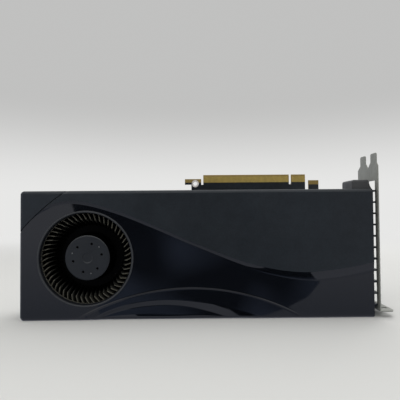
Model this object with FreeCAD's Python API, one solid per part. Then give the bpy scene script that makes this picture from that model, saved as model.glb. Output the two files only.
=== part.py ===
"""A dual-slot graphics card with a radial blower, as an assembly of separate pieces.

The card stands on its long edge. +X runs from the tail to the mounting bracket, +Y from the
cooler's face to the back of the circuit board, and +Z from the resting edge to the edge connector.
The origin is the centre of the base of the bounding box. Lengths are in millimetres.

Inside this script a place is given as (u, d, z): u is the distance from the tail end of the
shroud, d the depth behind the shroud's front plane, and z the height above the resting edge.
"""

import FreeCAD, Part
import math
import os

V = FreeCAD.Vector

# ---------------------------------------------------------------- driving dimensions
SHROUD_LENGTH = 266.0
SHROUD_HEIGHT = 97.0
WALL = 2.0
EXHAUST_GAP = 3.4
FLANGE_REACH = 11.43
BRACKET_NEAR = -0.7
BRACKET_FAR = 37.6
BRACKET_THICK = 0.8
BRACKET_LENGTH = 120.02
FLANGE_Z = 4.5
BOARD_FRONT = 34.9
BOARD_THICK = 1.57
BACK_ALLOWANCE = 2.63

GLOSS_LEVEL = 0.8
INNER_FACE = 4.4
SHROUD_BACK = 29.6
CORNER_RADIUS = 3.0
EDGE_ROUND = 2.2

FAN_U = 49.0
FAN_Z = 46.0
INTAKE_RADIUS = 34.0
INTAKE_RIM = 1.6
IMPELLER_RADIUS = 35.2
HUB_RADIUS = 17.3
HUB_FACE = 7.0
BLADE_COUNT = 53
BLADE_FRONT = 5.4
BACK_DISC_FRONT = 24.6
BACK_DISC_THICK = 1.2
SHAFT_RADIUS = 1.5

TRAY_FRONT = 29.87
TRAY_THICK = 2.0
GPU_U = 178.0
GPU_Z = 50.0
COLD_PLATE_SIDE = 62.0
COLD_PLATE_FRONT = 28.0
COLD_PLATE_THICK = 4.02

FIN_COUNT = 40
FIN_PITCH = 2.2
FIN_THICK = 0.4
FIN_FIRST_Z = 5.2
FIN_START_U = 101.0
FIN_END_U = 264.0
FIN_FRONT = 5.0

KEY_U = 211.15
TIP_Z = 111.15
BOARD_EDGE_Z = 96.6

# ---------------------------------------------------------------- derived places
BRACKET_U = SHROUD_LENGTH + EXHAUST_GAP
BOARD_BACK = BOARD_FRONT + BOARD_THICK
OVERALL_LENGTH = BRACKET_U + FLANGE_REACH
OVERALL_DEPTH = BOARD_BACK + BACK_ALLOWANCE - BRACKET_NEAR
TAIL_X = -OVERALL_LENGTH / 2
FACE_Y = -OVERALL_DEPTH / 2 - BRACKET_NEAR
BACK_D = BOARD_BACK + BACK_ALLOWANCE
FAN_AXIS = V(0, 1, 0)


# ---------------------------------------------------------------- helpers
def at(u, d, z):
    """The point (u, d, z) in the part's frame."""
    return V(TAIL_X + u, FACE_Y + d, z)


def block(u0, u1, d0, d1, z0, z1):
    """A box between two corners."""
    return Part.makeBox(u1 - u0, d1 - d0, z1 - z0, at(u0, d0, z0))


def rod(u, z, d0, d1, radius):
    """A cylinder along the depth."""
    return Part.makeCylinder(radius, d1 - d0, at(u, d0, z), FAN_AXIS)


def tube(u, z, d0, d1, outer, inner):
    """A ring along the depth."""
    return rod(u, z, d0, d1, outer).cut(rod(u, z, d0 - 1, d1 + 1, inner))


def slab(outline, d0, d1):
    """A closed (u, z) outline of edges or of points, thickened from depth d0 to d1."""
    if isinstance(outline[0], tuple):
        corners = [at(u, d0, z) for u, z in outline]
        wire = Part.makePolygon(corners + corners[:1])
    else:
        wire = Part.Wire(Part.__sortEdges__(outline))
        wire.translate(V(0, d0, 0))
    return Part.Face(wire).extrude(V(0, d1 - d0, 0))


def line(a, b):
    """A straight edge between two (u, z) points at depth 0."""
    return Part.LineSegment(at(a[0], 0, a[1]), at(b[0], 0, b[1])).toShape()


def arc(a, b, c):
    """A circular edge from a through b to c, (u, z) points at depth 0."""
    return Part.Arc(*[at(p[0], 0, p[1]) for p in (a, b, c)]).toShape()


def curve(points):
    """A smooth edge through (u, z) points at depth 0."""
    spline = Part.BSplineCurve()
    spline.interpolate([at(u, 0, z) for u, z in points])
    return spline.toShape()


def edges_where(shape, test):
    """The edges whose midpoint, as (u, d, z), and direction pass a test."""
    found = []
    for edge in shape.Edges:
        middle = edge.valueAt((edge.FirstParameter + edge.LastParameter) / 2)
        along = edge.tangentAt((edge.FirstParameter + edge.LastParameter) / 2)
        if test(middle.x - TAIL_X, middle.y - FACE_Y, middle.z, along):
            found.append(edge)
    return found


def around_fan(shape, degrees):
    """A copy turned about the fan's axis, anticlockwise as seen from the cooler's face."""
    turned = shape.copy()
    turned.rotate(at(FAN_U, 0, FAN_Z), V(0, -1, 0), degrees)
    return turned


def fan_point(radius, degrees):
    """The (u, z) point at a radius and angle about the fan's axis."""
    angle = math.radians(degrees)
    return FAN_U + radius * math.cos(angle), FAN_Z + radius * math.sin(angle)


def turned_profile(points, u=FAN_U, z=FAN_Z):
    """A solid of revolution about a depth axis, from (radius, d) points."""
    corners = [at(u + r, d, z) for r, d in points]
    face = Part.Face(Part.makePolygon(corners + corners[:1]))
    return face.revolve(at(u, 0, z), FAN_AXIS, 360)


def rounded_block(u0, u1, d0, d1, z0, z1, radius):
    """A box whose four edges along the depth are rounded."""
    box = block(u0, u1, d0, d1, z0, z1)
    return box.makeFillet(radius, [e for e in box.Edges if abs(e.tangentAt(0).y) > 0.9])


def save(name, shape):
    """Writes one node; a list becomes a group of separate solids."""
    if isinstance(shape, list):
        shape = Part.makeCompound(shape)
    for index, solid in enumerate(shape.Solids):
        if not solid.isValid():
            print("not valid:", name, index)
    shape.exportStep(os.path.join("parts", name + ".step"))
    print("%-24s solids %3d  volume %10.2f" % (name, len(shape.Solids), shape.Volume))


# ---------------------------------------------------------------- shroud
SEAM = ((0.0, 66.0), (16.4, 82.7), (35.5, 97.0))
SEAM_GAP = 0.5
CORNER_LEVEL = 0.4
SWEEP = [
    (8.0, 77.6),
    (18.0, 84.2),
    (27.0, 88.0),
    (42.4, 89.4),
    (70.4, 82.3),
    (100.8, 70.1),
    (134.0, 55.6),
    (175.4, 40.6),
    (210.0, 34.7),
    (239.6, 36.7),
    (SHROUD_LENGTH, 41.4),
]
UPPER_ARCH = ((41.0, 0.0), (127.0, 23.4), (214.0, 0.0))
LOWER_ARCH = ((53.0, 0.0), (108.0, 14.0), (181.0, 0.0))
UPPER_ARCH_LEVEL = GLOSS_LEVEL + 0.5
LOWER_ARCH_LEVEL = GLOSS_LEVEL + 1.3
HUMP_START = 252.6
HUMP_TOP = 104.2
HUMP_NEAR = 5.0
HUMP_WALL = 1.3
HUMP_END = ((265.6, HUMP_TOP), (266.4, 100.2), (268.6, SHROUD_HEIGHT - WALL))
RIB_COUNT = 11
RIB_FIRST_Z = 9.2
RIB_PITCH = 8.63
RIB_THICK = 1.2
RIB_START_U = 264.8
RIB_FRONT = 2.2
RIB_BACK = 10.0
POWER_Z = 12.5
POWER_HALF = 9.6
EAR_PLACES = (24.0, 120.0, 226.0)
EAR_HALF = 4.0
EAR_THICK = 1.0
EAR_BACK = 34.2
EAR_SCREW_D = 32.2
PORT_HOOD_U = 243.8


def rounded_case(front, back, inset, round_front):
    """The shroud's outer or inner form, open or closed at the exhaust end."""
    low, high = inset, SHROUD_HEIGHT - inset
    reach = SHROUD_LENGTH if inset == 0 else SHROUD_LENGTH + 5
    form = block(inset, reach, front, back, low, high)
    tail = edges_where(form, lambda u, d, z, t: abs(t.y) > 0.9 and u < inset + 0.1)
    form = form.makeFillet(CORNER_RADIUS - inset / 2, tail)
    if round_front:
        rim = edges_where(form, lambda u, d, z, t: d < front + 0.01 and u < reach - 0.1)
        form = form.makeFillet(EDGE_ROUND, rim)
    return form


def arch_region(points, back):
    """What lies under an arch that stands on the resting edge, down to a level."""
    a, b, c = points
    below_a, below_c = (a[0], -5.0), (c[0], -5.0)
    outline = [arc(a, b, c), line(c, below_c), line(below_c, below_a), line(below_a, a)]
    return slab(outline, 0, back)


def corner_region(gap, front, back):
    """The raised corner beyond the seam; a gap grows it towards the panel."""
    low, middle, high = [(u + 0.66 * gap, z - 0.75 * gap) for u, z in SEAM]
    far_low, far_high = (-9.0, low[1]), (high[0], 106.0)
    outline = [
        arc(low, middle, high),
        line(high, far_high),
        line(far_high, (-9.0, 106.0)),
        line((-9.0, 106.0), far_low),
        line(far_low, low),
    ]
    return slab(outline, front, back)


def panel_region(back):
    """The matte scythe-shaped field above the sweep."""
    right_high, left_high = (SHROUD_LENGTH, SHROUD_HEIGHT), (SWEEP[0][0], SHROUD_HEIGHT)
    outline = [
        curve(SWEEP),
        line(SWEEP[-1], right_high),
        line(right_high, left_high),
        line(left_high, SWEEP[0]),
    ]
    return slab(outline, 0, back)


def exhaust_ribs():
    """Thin ribs that bridge the front wall's end and the bracket."""
    ribs = []
    for index in range(RIB_COUNT):
        z = RIB_FIRST_Z + RIB_PITCH * index
        low, high = z - RIB_THICK / 2, z + RIB_THICK / 2
        ribs.append(block(RIB_START_U, BRACKET_U - 0.3, RIB_FRONT, RIB_BACK, low, high))
    return ribs


def hump():
    """The hollow bulge beside the edge connector, where the exhaust duct widens."""
    reach = BRACKET_U - 0.3
    root = SHROUD_HEIGHT - WALL
    outline = [(HUMP_START, root), (HUMP_START, HUMP_TOP), *HUMP_END]
    near = slab(outline, HUMP_NEAR, HUMP_NEAR + HUMP_WALL)
    side = block(HUMP_START, HUMP_START + HUMP_WALL, HUMP_NEAR, SHROUD_BACK, root, HUMP_TOP)
    roof = block(HUMP_START, reach, HUMP_NEAR, SHROUD_BACK, HUMP_TOP - HUMP_WALL, HUMP_TOP)
    shell = near.fuse([side, roof]).removeSplitter()
    corner = edges_where(
        shell,
        lambda u, d, z, t: abs(t.y) > 0.9 and u < HUMP_START + 0.1 and z > HUMP_TOP - 0.1,
    )
    return shell.makeFillet(1.0, corner)


def hump_way():
    """The passage from the duct into the hump."""
    return block(
        HUMP_START + HUMP_WALL,
        SHROUD_LENGTH + 5,
        HUMP_NEAR + HUMP_WALL,
        SHROUD_BACK + 10,
        SHROUD_HEIGHT - WALL - 3,
        HUMP_TOP - HUMP_WALL,
    )


def ears(grow):
    """The shroud's screw ears; grown a little, they are the notches in the tray."""
    shapes = []
    for u in EAR_PLACES:
        half, deep = EAR_HALF + grow, EAR_THICK + grow
        front, back = SHROUD_BACK - 0.1, EAR_BACK + grow
        shapes.append(block(u - half, u + half, front, back, -grow, deep))
        top = SHROUD_HEIGHT - deep
        shapes.append(block(u - half, u + half, front, back, top, SHROUD_HEIGHT + grow))
    return shapes


def ear_pegs(radius, start, length):
    """A peg on each ear screw's axis, from a depth below the card's side."""
    pegs = []
    for u in EAR_PLACES:
        low, high = at(u, EAR_SCREW_D, start), at(u, EAR_SCREW_D, SHROUD_HEIGHT - start)
        pegs.append(Part.makeCylinder(radius, length, low, V(0, 0, 1)))
        pegs.append(Part.makeCylinder(radius, length, high, V(0, 0, -1)))
    return pegs


def port_hood():
    """The side walls' deeper stretch beside the display sockets."""
    low = block(PORT_HOOD_U, SHROUD_LENGTH, SHROUD_BACK - 0.1, BOARD_FRONT - 0.2, 0, WALL)
    high = low.copy()
    high.translate(V(0, 0, SHROUD_HEIGHT - WALL))
    return [low, high]


def shroud():
    """The moulded cover: a shell with the intake, sculpted steps, ribs, ears and the hump."""
    form = rounded_case(0, SHROUD_BACK, 0, True)
    panel = panel_region(GLOSS_LEVEL + 1).common(form)
    panel = panel.cut(corner_region(SEAM_GAP, -1, GLOSS_LEVEL + 2))
    corner = corner_region(0, CORNER_LEVEL, GLOSS_LEVEL + 1).common(form)
    rim = turned_profile(
        [
            (INTAKE_RADIUS - 1, 0.5),
            (INTAKE_RADIUS + 0.5, 0.1),
            (INTAKE_RADIUS + INTAKE_RIM, 0.6),
            (INTAKE_RADIUS + INTAKE_RIM, INNER_FACE),
            (INTAKE_RADIUS - 1, INNER_FACE),
        ]
    )
    case = rounded_case(GLOSS_LEVEL, SHROUD_BACK, 0, True)
    guard = rod(FAN_U, FAN_Z, 0, INNER_FACE, INTAKE_RADIUS + INTAKE_RIM)
    steps = [
        arch_region(UPPER_ARCH, UPPER_ARCH_LEVEL).cut(guard),
        arch_region(LOWER_ARCH, LOWER_ARCH_LEVEL).cut(guard),
    ]
    case = case.cut(steps).fuse([panel, corner, rim, hump()] + port_hood())
    hollow = rounded_case(INNER_FACE, SHROUD_BACK + 10, WALL, False)
    intake = rod(FAN_U, FAN_Z, -5, INNER_FACE + 5, INTAKE_RADIUS)
    socket_low, socket_high = POWER_Z - POWER_HALF, POWER_Z + POWER_HALF
    socket = block(-1, WALL + 2, 21.6, SHROUD_BACK + 5, socket_low, socket_high)
    case = case.cut([hollow, hump_way(), intake, socket])
    case = case.fuse(exhaust_ribs() + ears(0))
    return case.cut(ear_pegs(1.75, -1, 1.7) + ear_pegs(0.95, -1, 4)).removeSplitter()


def ear_screws():
    """Small flat-headed screws through the ears into the tray."""
    screws = []
    heads, shanks = ear_pegs(1.7, 0.1, 0.58), ear_pegs(0.85, 0.5, 3.6)
    for head, shank in zip(heads, shanks):
        middle = head.CenterOfMass
        outside = -1 if middle.z < SHROUD_HEIGHT / 2 else 1
        screw = head.fuse(shank)
        for along, across in ((1.0, 0.2), (0.2, 1.0)):
            slot = Part.makeBox(2 * along, 2 * across, 0.5, middle - V(along, across, 0.25))
            slot.translate(V(0, 0, 0.25 * outside))
            screw = screw.cut(slot)
        screws.append(screw)
    return screws


# ---------------------------------------------------------------- blower
def blade():
    """One forward-leaning blade; its inner edge slants in towards the back disc."""
    half = 0.42
    spine = [(23.0, 0.0), (29.5, 3.0), (IMPELLER_RADIUS, 8.4)]

    def side(offset):
        """The blade's face at a distance to one side of its spine."""
        return [fan_point(r, a + math.degrees(offset / r)) for r, a in spine]

    ahead, behind = side(half), side(-half)
    outline = [arc(*ahead), line(ahead[2], behind[2]), arc(*behind), line(behind[0], ahead[0])]
    strip = slab(outline, BLADE_FRONT, BACK_DISC_FRONT + 0.3)
    keep = turned_profile(
        [
            (29.4, BLADE_FRONT),
            (IMPELLER_RADIUS - 0.02, BLADE_FRONT),
            (IMPELLER_RADIUS - 0.02, BACK_DISC_FRONT + 0.3),
            (24.0, BACK_DISC_FRONT + 0.3),
        ]
    )
    return strip.common(keep)


def hub_mark(reach, degrees, deep, radius):
    """A round pocket in the hub's face."""
    u, z = fan_point(reach, degrees)
    return rod(u, z, HUB_FACE - 1, HUB_FACE + deep, radius)


def impeller():
    """Hub, back disc, front hoop and blades, moulded in one."""
    disc_back = BACK_DISC_FRONT + BACK_DISC_THICK
    cup = turned_profile(
        [
            (0, HUB_FACE),
            (HUB_RADIUS - 1.2, HUB_FACE),
            (HUB_RADIUS - 0.35, HUB_FACE + 0.35),
            (HUB_RADIUS, HUB_FACE + 1.2),
            (HUB_RADIUS + 0.6, BACK_DISC_FRONT),
            (IMPELLER_RADIUS, BACK_DISC_FRONT),
            (IMPELLER_RADIUS, disc_back),
            (HUB_RADIUS - 1.4, disc_back),
            (HUB_RADIUS - 1.4, HUB_FACE + 1.5),
            (0, HUB_FACE + 1.5),
        ]
    )
    hoop = tube(FAN_U, FAN_Z, BLADE_FRONT, BLADE_FRONT + 1.4, IMPELLER_RADIUS, 34.1)
    dimple = rod(FAN_U, FAN_Z, HUB_FACE - 1, HUB_FACE + 0.3, 5.0)
    marks = [hub_mark(11.0, 13 + 60 * k, 1.0, 0.95) for k in range(6)]
    marks += [hub_mark(11.8, 43 + 120 * k, 0.25, 0.8) for k in range(3)]
    first = blade()
    blades = [around_fan(first, 360.0 * k / BLADE_COUNT) for k in range(BLADE_COUNT)]
    body = cup.cut([dimple] + marks)
    return body.fuse([hoop] + blades).removeSplitter()


def rotor_cup():
    """The steel flux cup pressed into the hub, with a boss for the shaft."""
    outer = HUB_RADIUS - 1.45
    top = HUB_FACE + 1.55
    shell = rod(FAN_U, FAN_Z, top, 20.0, outer).cut(rod(FAN_U, FAN_Z, top + 0.8, 21, outer - 0.8))
    boss = rod(FAN_U, FAN_Z, top, top + 2.4, 3.2)
    return shell.fuse(boss).cut(rod(FAN_U, FAN_Z, top - 1, 21, SHAFT_RADIUS + 0.01))


def motor_parts():
    """The blower motor's pieces, by node name."""
    magnet = tube(FAN_U, FAN_Z, 10.6, 19.4, HUB_RADIUS - 2.3, 13.5)
    shaft = rod(FAN_U, FAN_Z, HUB_FACE + 1.6, 26.2, SHAFT_RADIUS)
    clip = tube(FAN_U, FAN_Z, 25.0, 25.5, 2.6, SHAFT_RADIUS + 0.01)
    bearings = [tube(FAN_U, FAN_Z, d, d + 2.5, 4.0, SHAFT_RADIUS + 0.05) for d in (12.5, 21.2)]
    core = tube(FAN_U, FAN_Z, 12.6, 17.4, 7.4, 5.3)
    coils = []
    for index in range(6):
        angle = 60.0 * index
        tooth = block(FAN_U + 6.9, FAN_U + 11.6, 12.6, 17.4, FAN_Z - 1.3, FAN_Z + 1.3)
        shoe = tube(FAN_U, FAN_Z, 12.6, 17.4, 13.0, 11.4)
        shoe = shoe.common(block(FAN_U + 5, FAN_U + 14, 12, 18, FAN_Z - 5.2, FAN_Z + 5.2))
        core = core.fuse([around_fan(tooth, angle), around_fan(shoe, angle)])
        wound = rounded_block(
            FAN_U + 7.9, FAN_U + 11.0, 11.4, 18.6, FAN_Z - 2.5, FAN_Z + 2.5, 0.8
        )
        hole = block(FAN_U + 7, FAN_U + 12, 12.55, 17.45, FAN_Z - 1.35, FAN_Z + 1.35)
        coils.append(around_fan(wound.cut(hole), angle))
    driver = tube(FAN_U, FAN_Z, 25.4, 26.4, 14.0, 5.26)
    return {
        "rotor_magnet": magnet,
        "motor_shaft": shaft,
        "shaft_clip": clip,
        "bearings": bearings,
        "stator_core": core.removeSplitter(),
        "stator_coils": coils,
        "motor_board": driver,
    }


FAN_ARM_ANGLES = (30.0, 150.0, 270.0)
FAN_ARM_REACH = 27.0
LEAD_ANGLE = 46.0


def fan_frame():
    """The blower's steel foot: a disc with three arms, the bearing tube and a notch for the lead."""
    plate = rod(FAN_U, FAN_Z, 27.0, 28.2, 20.0)
    parts = [tube(FAN_U, FAN_Z, 11.0, 27.2, 5.25, 4.03)]
    notch = block(FAN_U + 8.0, FAN_U + 21.0, 26.9, 28.3, FAN_Z - 1.1, FAN_Z + 1.1)
    holes = [around_fan(notch, LEAD_ANGLE)]
    for angle in FAN_ARM_ANGLES:
        arm = block(FAN_U + 15, FAN_U + FAN_ARM_REACH, 27.0, 28.2, FAN_Z - 4, FAN_Z + 4)
        pad = rod(FAN_U + FAN_ARM_REACH, FAN_Z, 27.0, 28.2, 4.0)
        parts += [around_fan(arm, angle), around_fan(pad, angle)]
        holes.append(rod(*fan_point(FAN_ARM_REACH, angle), 26, 29, 1.35))
    return plate.fuse(parts).cut(holes).removeSplitter()


def fan_screws():
    """Three screws through the arms into the tray's bosses."""
    screws = []
    for angle in FAN_ARM_ANGLES:
        u, z = fan_point(FAN_ARM_REACH, angle)
        head = rod(u, z, 26.1, 26.98, 2.3)
        shank = rod(u, z, 26.9, 31.0, 1.25)
        slot_one = block(u - 1.1, u + 1.1, 26.0, 26.6, z - 0.25, z + 0.25)
        slot_two = block(u - 0.25, u + 0.25, 26.0, 26.6, z - 1.1, z + 1.1)
        screws.append(head.fuse(shank).cut([slot_one, slot_two]))
    return screws


# ---------------------------------------------------------------- tray and heat sink
CLAMP_HALF = 26.0
TRAY_END = 243.0
TRAY_TOP = 96.4
DUCT_STEP_U = 242.4
DUCT_STEP_FRONT = 26.0
TRAY_SCREWS = [(18.5, 5.0), (6.0, 91.4)]
TRAY_SCREWS += [(u, z) for u in (84.0, 132.0, 186.0, 238.0) for z in (5.0, 91.4)]
MEMORY_PLACES = [(u, z, False) for u in (137.0, 219.0) for z in (30.0, 50.0, 70.0)]
MEMORY_PLACES += [(163.0, 11.0, True), (197.0, 11.0, True)]
STAGE_ROWS = [12.0 + 10.4 * k for k in range(8)]
STAGE_U = 118.0
INDUCTOR_U = 104.5
CAPACITOR_U = 92.0


def scroll_wall():
    """The spiral wall round the impeller; it opens towards the fins."""
    start, end = 52.0, 288.0
    steps = (0.0, 0.25, 0.5, 0.75, 1.0)

    def spiral(extra):
        """Points on the spiral, the radius growing with the angle."""
        points = []
        for share in steps:
            angle = start + (end - start) * share
            points.append(fan_point(36.6 + 5.3 * share + extra, angle))
        return points

    inner, outer = spiral(0.0), spiral(1.3)
    outline = [
        curve(inner),
        line(inner[-1], outer[-1]),
        curve(outer),
        line(outer[0], inner[0]),
    ]
    return slab(outline, INNER_FACE + 0.3, TRAY_FRONT + 0.5)


def base_tray():
    """The black metal frame between the shroud and the circuit board."""
    tray_back = TRAY_FRONT + TRAY_THICK
    skirt_back = BOARD_FRONT - 0.05
    plate = block(0.6, TRAY_END, TRAY_FRONT, tray_back, 0.0, TRAY_TOP)
    skirt = block(0.6, TRAY_END, tray_back - 0.1, skirt_back, 0.0, TRAY_TOP)
    skirt = skirt.cut(block(2.6, TRAY_END - 2, 0, 50, 2.0, TRAY_TOP - 2.0))
    bosses = [rod(u, z, TRAY_FRONT + 1, skirt_back, 3.2) for u, z in TRAY_SCREWS]
    seats = [
        rod(*fan_point(FAN_ARM_REACH, a), 28.25, TRAY_FRONT + 0.5, 3.6) for a in FAN_ARM_ANGLES
    ]
    threads = []
    for u in EAR_PLACES:
        threads.append(block(u - 2.6, u + 2.6, TRAY_FRONT + 0.5, skirt_back, 1.2, 4.8))
        threads.append(block(u - 2.6, u + 2.6, TRAY_FRONT + 0.5, skirt_back, 92.2, 95.8))
    riser = block(DUCT_STEP_U, DUCT_STEP_U + 1.2, DUCT_STEP_FRONT, tray_back, 2.3, 94.7)
    shelf = block(DUCT_STEP_U, 267.6, DUCT_STEP_FRONT, DUCT_STEP_FRONT + 1.2, 2.3, 94.7)
    tray = plate.fuse([skirt, scroll_wall(), riser, shelf] + bosses + seats + threads)
    half = COLD_PLATE_SIDE / 2 + 0.6
    cuts = [
        block(GPU_U - half, GPU_U + half, 20, 50, GPU_Z - half, GPU_Z + half),
        block(86.5, 111.0, 20, 50, 7.2, 91.0),
        block(-1, 15.0, 21.0, 50, POWER_Z - POWER_HALF - 1.4, POWER_Z + POWER_HALF + 0.6),
    ]
    cuts += [rod(u, z, TRAY_FRONT - 1, 50, 1.3) for u, z in TRAY_SCREWS]
    cuts += [rod(*fan_point(FAN_ARM_REACH, a), 27, 40, 1.27) for a in FAN_ARM_ANGLES]
    cuts += ears(0.2) + ear_pegs(0.87, -1, 5.4)
    return tray.cut(cuts).removeSplitter()


def clamp_points():
    """The four clamp screws' places."""
    signs = (-CLAMP_HALF, CLAMP_HALF)
    return [(GPU_U + i, GPU_Z + j) for i in signs for j in signs]


def cold_plate():
    """The copper block that carries heat from the chip to the fins, with four threaded posts."""
    half = COLD_PLATE_SIDE / 2
    back = COLD_PLATE_FRONT + COLD_PLATE_THICK
    plate = rounded_block(
        GPU_U - half, GPU_U + half, COLD_PLATE_FRONT, back, GPU_Z - half, GPU_Z + half, 3.0
    )
    posts = [rod(u, z, back - 0.5, BOARD_FRONT - 0.05, 2.6) for u, z in clamp_points()]
    bores = [rod(u, z, back - 3.0, BOARD_FRONT + 1, 1.25) for u, z in clamp_points()]
    return plate.fuse(posts).cut(bores)


def fins():
    """Folded fins, each a thin sheet with a flange along its front and back edges."""
    step_u, step_d = DUCT_STEP_U - 0.4, DUCT_STEP_FRONT - 0.5
    stack = []
    for index in range(FIN_COUNT):
        z = FIN_FIRST_Z + FIN_PITCH * index
        web = block(FIN_START_U, FIN_END_U, FIN_FRONT, COLD_PLATE_FRONT, z, z + FIN_THICK)
        web = web.cut(block(step_u, FIN_END_U + 1, step_d, 40, z - 1, z + 2))
        folded = z + FIN_PITCH - 0.1
        front = block(FIN_START_U, FIN_END_U, FIN_FRONT, FIN_FRONT + FIN_THICK, z, folded)
        back_d = COLD_PLATE_FRONT - FIN_THICK
        back = block(FIN_START_U, step_u, back_d, COLD_PLATE_FRONT, z, folded)
        stack.append(web.fuse([front, back]).removeSplitter())
    return stack


# ---------------------------------------------------------------- circuit board
HOOK_U = 131.8
HOOK_Z = 104.0
BOARD_END = 266.6
TAB_TOP = 106.2
PCB_OUTLINE = [
    (1.0, 0.0),
    (BOARD_END, 0.0),
    (BOARD_END, BOARD_EDGE_Z),
    (235.0, BOARD_EDGE_Z),
    (235.0, TAB_TOP),
    (226.6, TAB_TOP),
    (226.6, 95.4),
    (223.75, 95.4),
    (223.75, TIP_Z),
    (KEY_U + 0.95, TIP_Z),
    (KEY_U + 0.95, TIP_Z - 8.2),
    (KEY_U - 0.95, TIP_Z - 8.2),
    (KEY_U - 0.95, TIP_Z),
    (138.55, TIP_Z),
    (138.55, 103.0),
    (136.8, 103.0),
    (136.8, 107.8),
    (123.2, 107.8),
    (123.2, 103.2),
    (128.6, 103.2),
    (128.6, BOARD_EDGE_Z),
    (1.0, BOARD_EDGE_Z),
]
BRACKET_TABS = (32.5, 78.2)
TAB_SCREW_U = 262.4


def circuit_board():
    """The board, with its edge-connector tongue, retention hook and screw holes."""
    board = slab(PCB_OUTLINE, BOARD_FRONT, BOARD_BACK)
    bevel = 0.45
    for low, high in ((137.0, KEY_U - 0.9), (KEY_U + 0.9, 225.0)):
        for face, inward in ((BOARD_FRONT, 1), (BOARD_BACK, -1)):
            corner = [
                at(low, face - 0.01 * inward, TIP_Z - 1.4),
                at(low, face - 0.01 * inward, TIP_Z + 0.1),
                at(low, face + bevel * inward, TIP_Z + 0.1),
            ]
            wedge = Part.Face(Part.makePolygon(corner + corner[:1]))
            board = board.cut(wedge.extrude(V(high - low, 0, 0)))
    holes = [rod(u, z, 30, 40, 1.35) for u, z in TRAY_SCREWS + clamp_points()]
    holes += [rod(TAB_SCREW_U, z, 30, 40, 1.6) for z in BRACKET_TABS]
    holes.append(rod(HOOK_U, HOOK_Z, 30, 40, 1.75))
    return board.cut(holes)


def edge_contacts():
    """The gold fingers, eleven before the key and seventy-one after it, on both faces."""
    after = [KEY_U - 1.95 - k for k in range(71)]
    before = [KEY_U + 1.95 + k for k in range(11)]
    pads = []
    for u in before + after:
        for face, out in ((BOARD_FRONT, -0.05), (BOARD_BACK, 0.05)):
            low, high = min(face, face + out), max(face, face + out)
            pads.append(block(u - 0.35, u + 0.35, low, high, TIP_Z - 6.4, TIP_Z - 1.5))
    return pads


def hook_ring():
    """The tinned ring round the hole in the retention hook, on both faces."""
    front = tube(HOOK_U, HOOK_Z, BOARD_FRONT - 0.06, BOARD_FRONT, 3.0, 1.8)
    back = tube(HOOK_U, HOOK_Z, BOARD_BACK, BOARD_BACK + 0.06, 3.0, 1.8)
    return [front, back]


def chip(u, z, half_u, half_z, height):
    """A flat moulded package standing on the board's front face."""
    return block(u - half_u, u + half_u, BOARD_FRONT - height, BOARD_FRONT, z - half_z, z + half_z)


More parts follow.
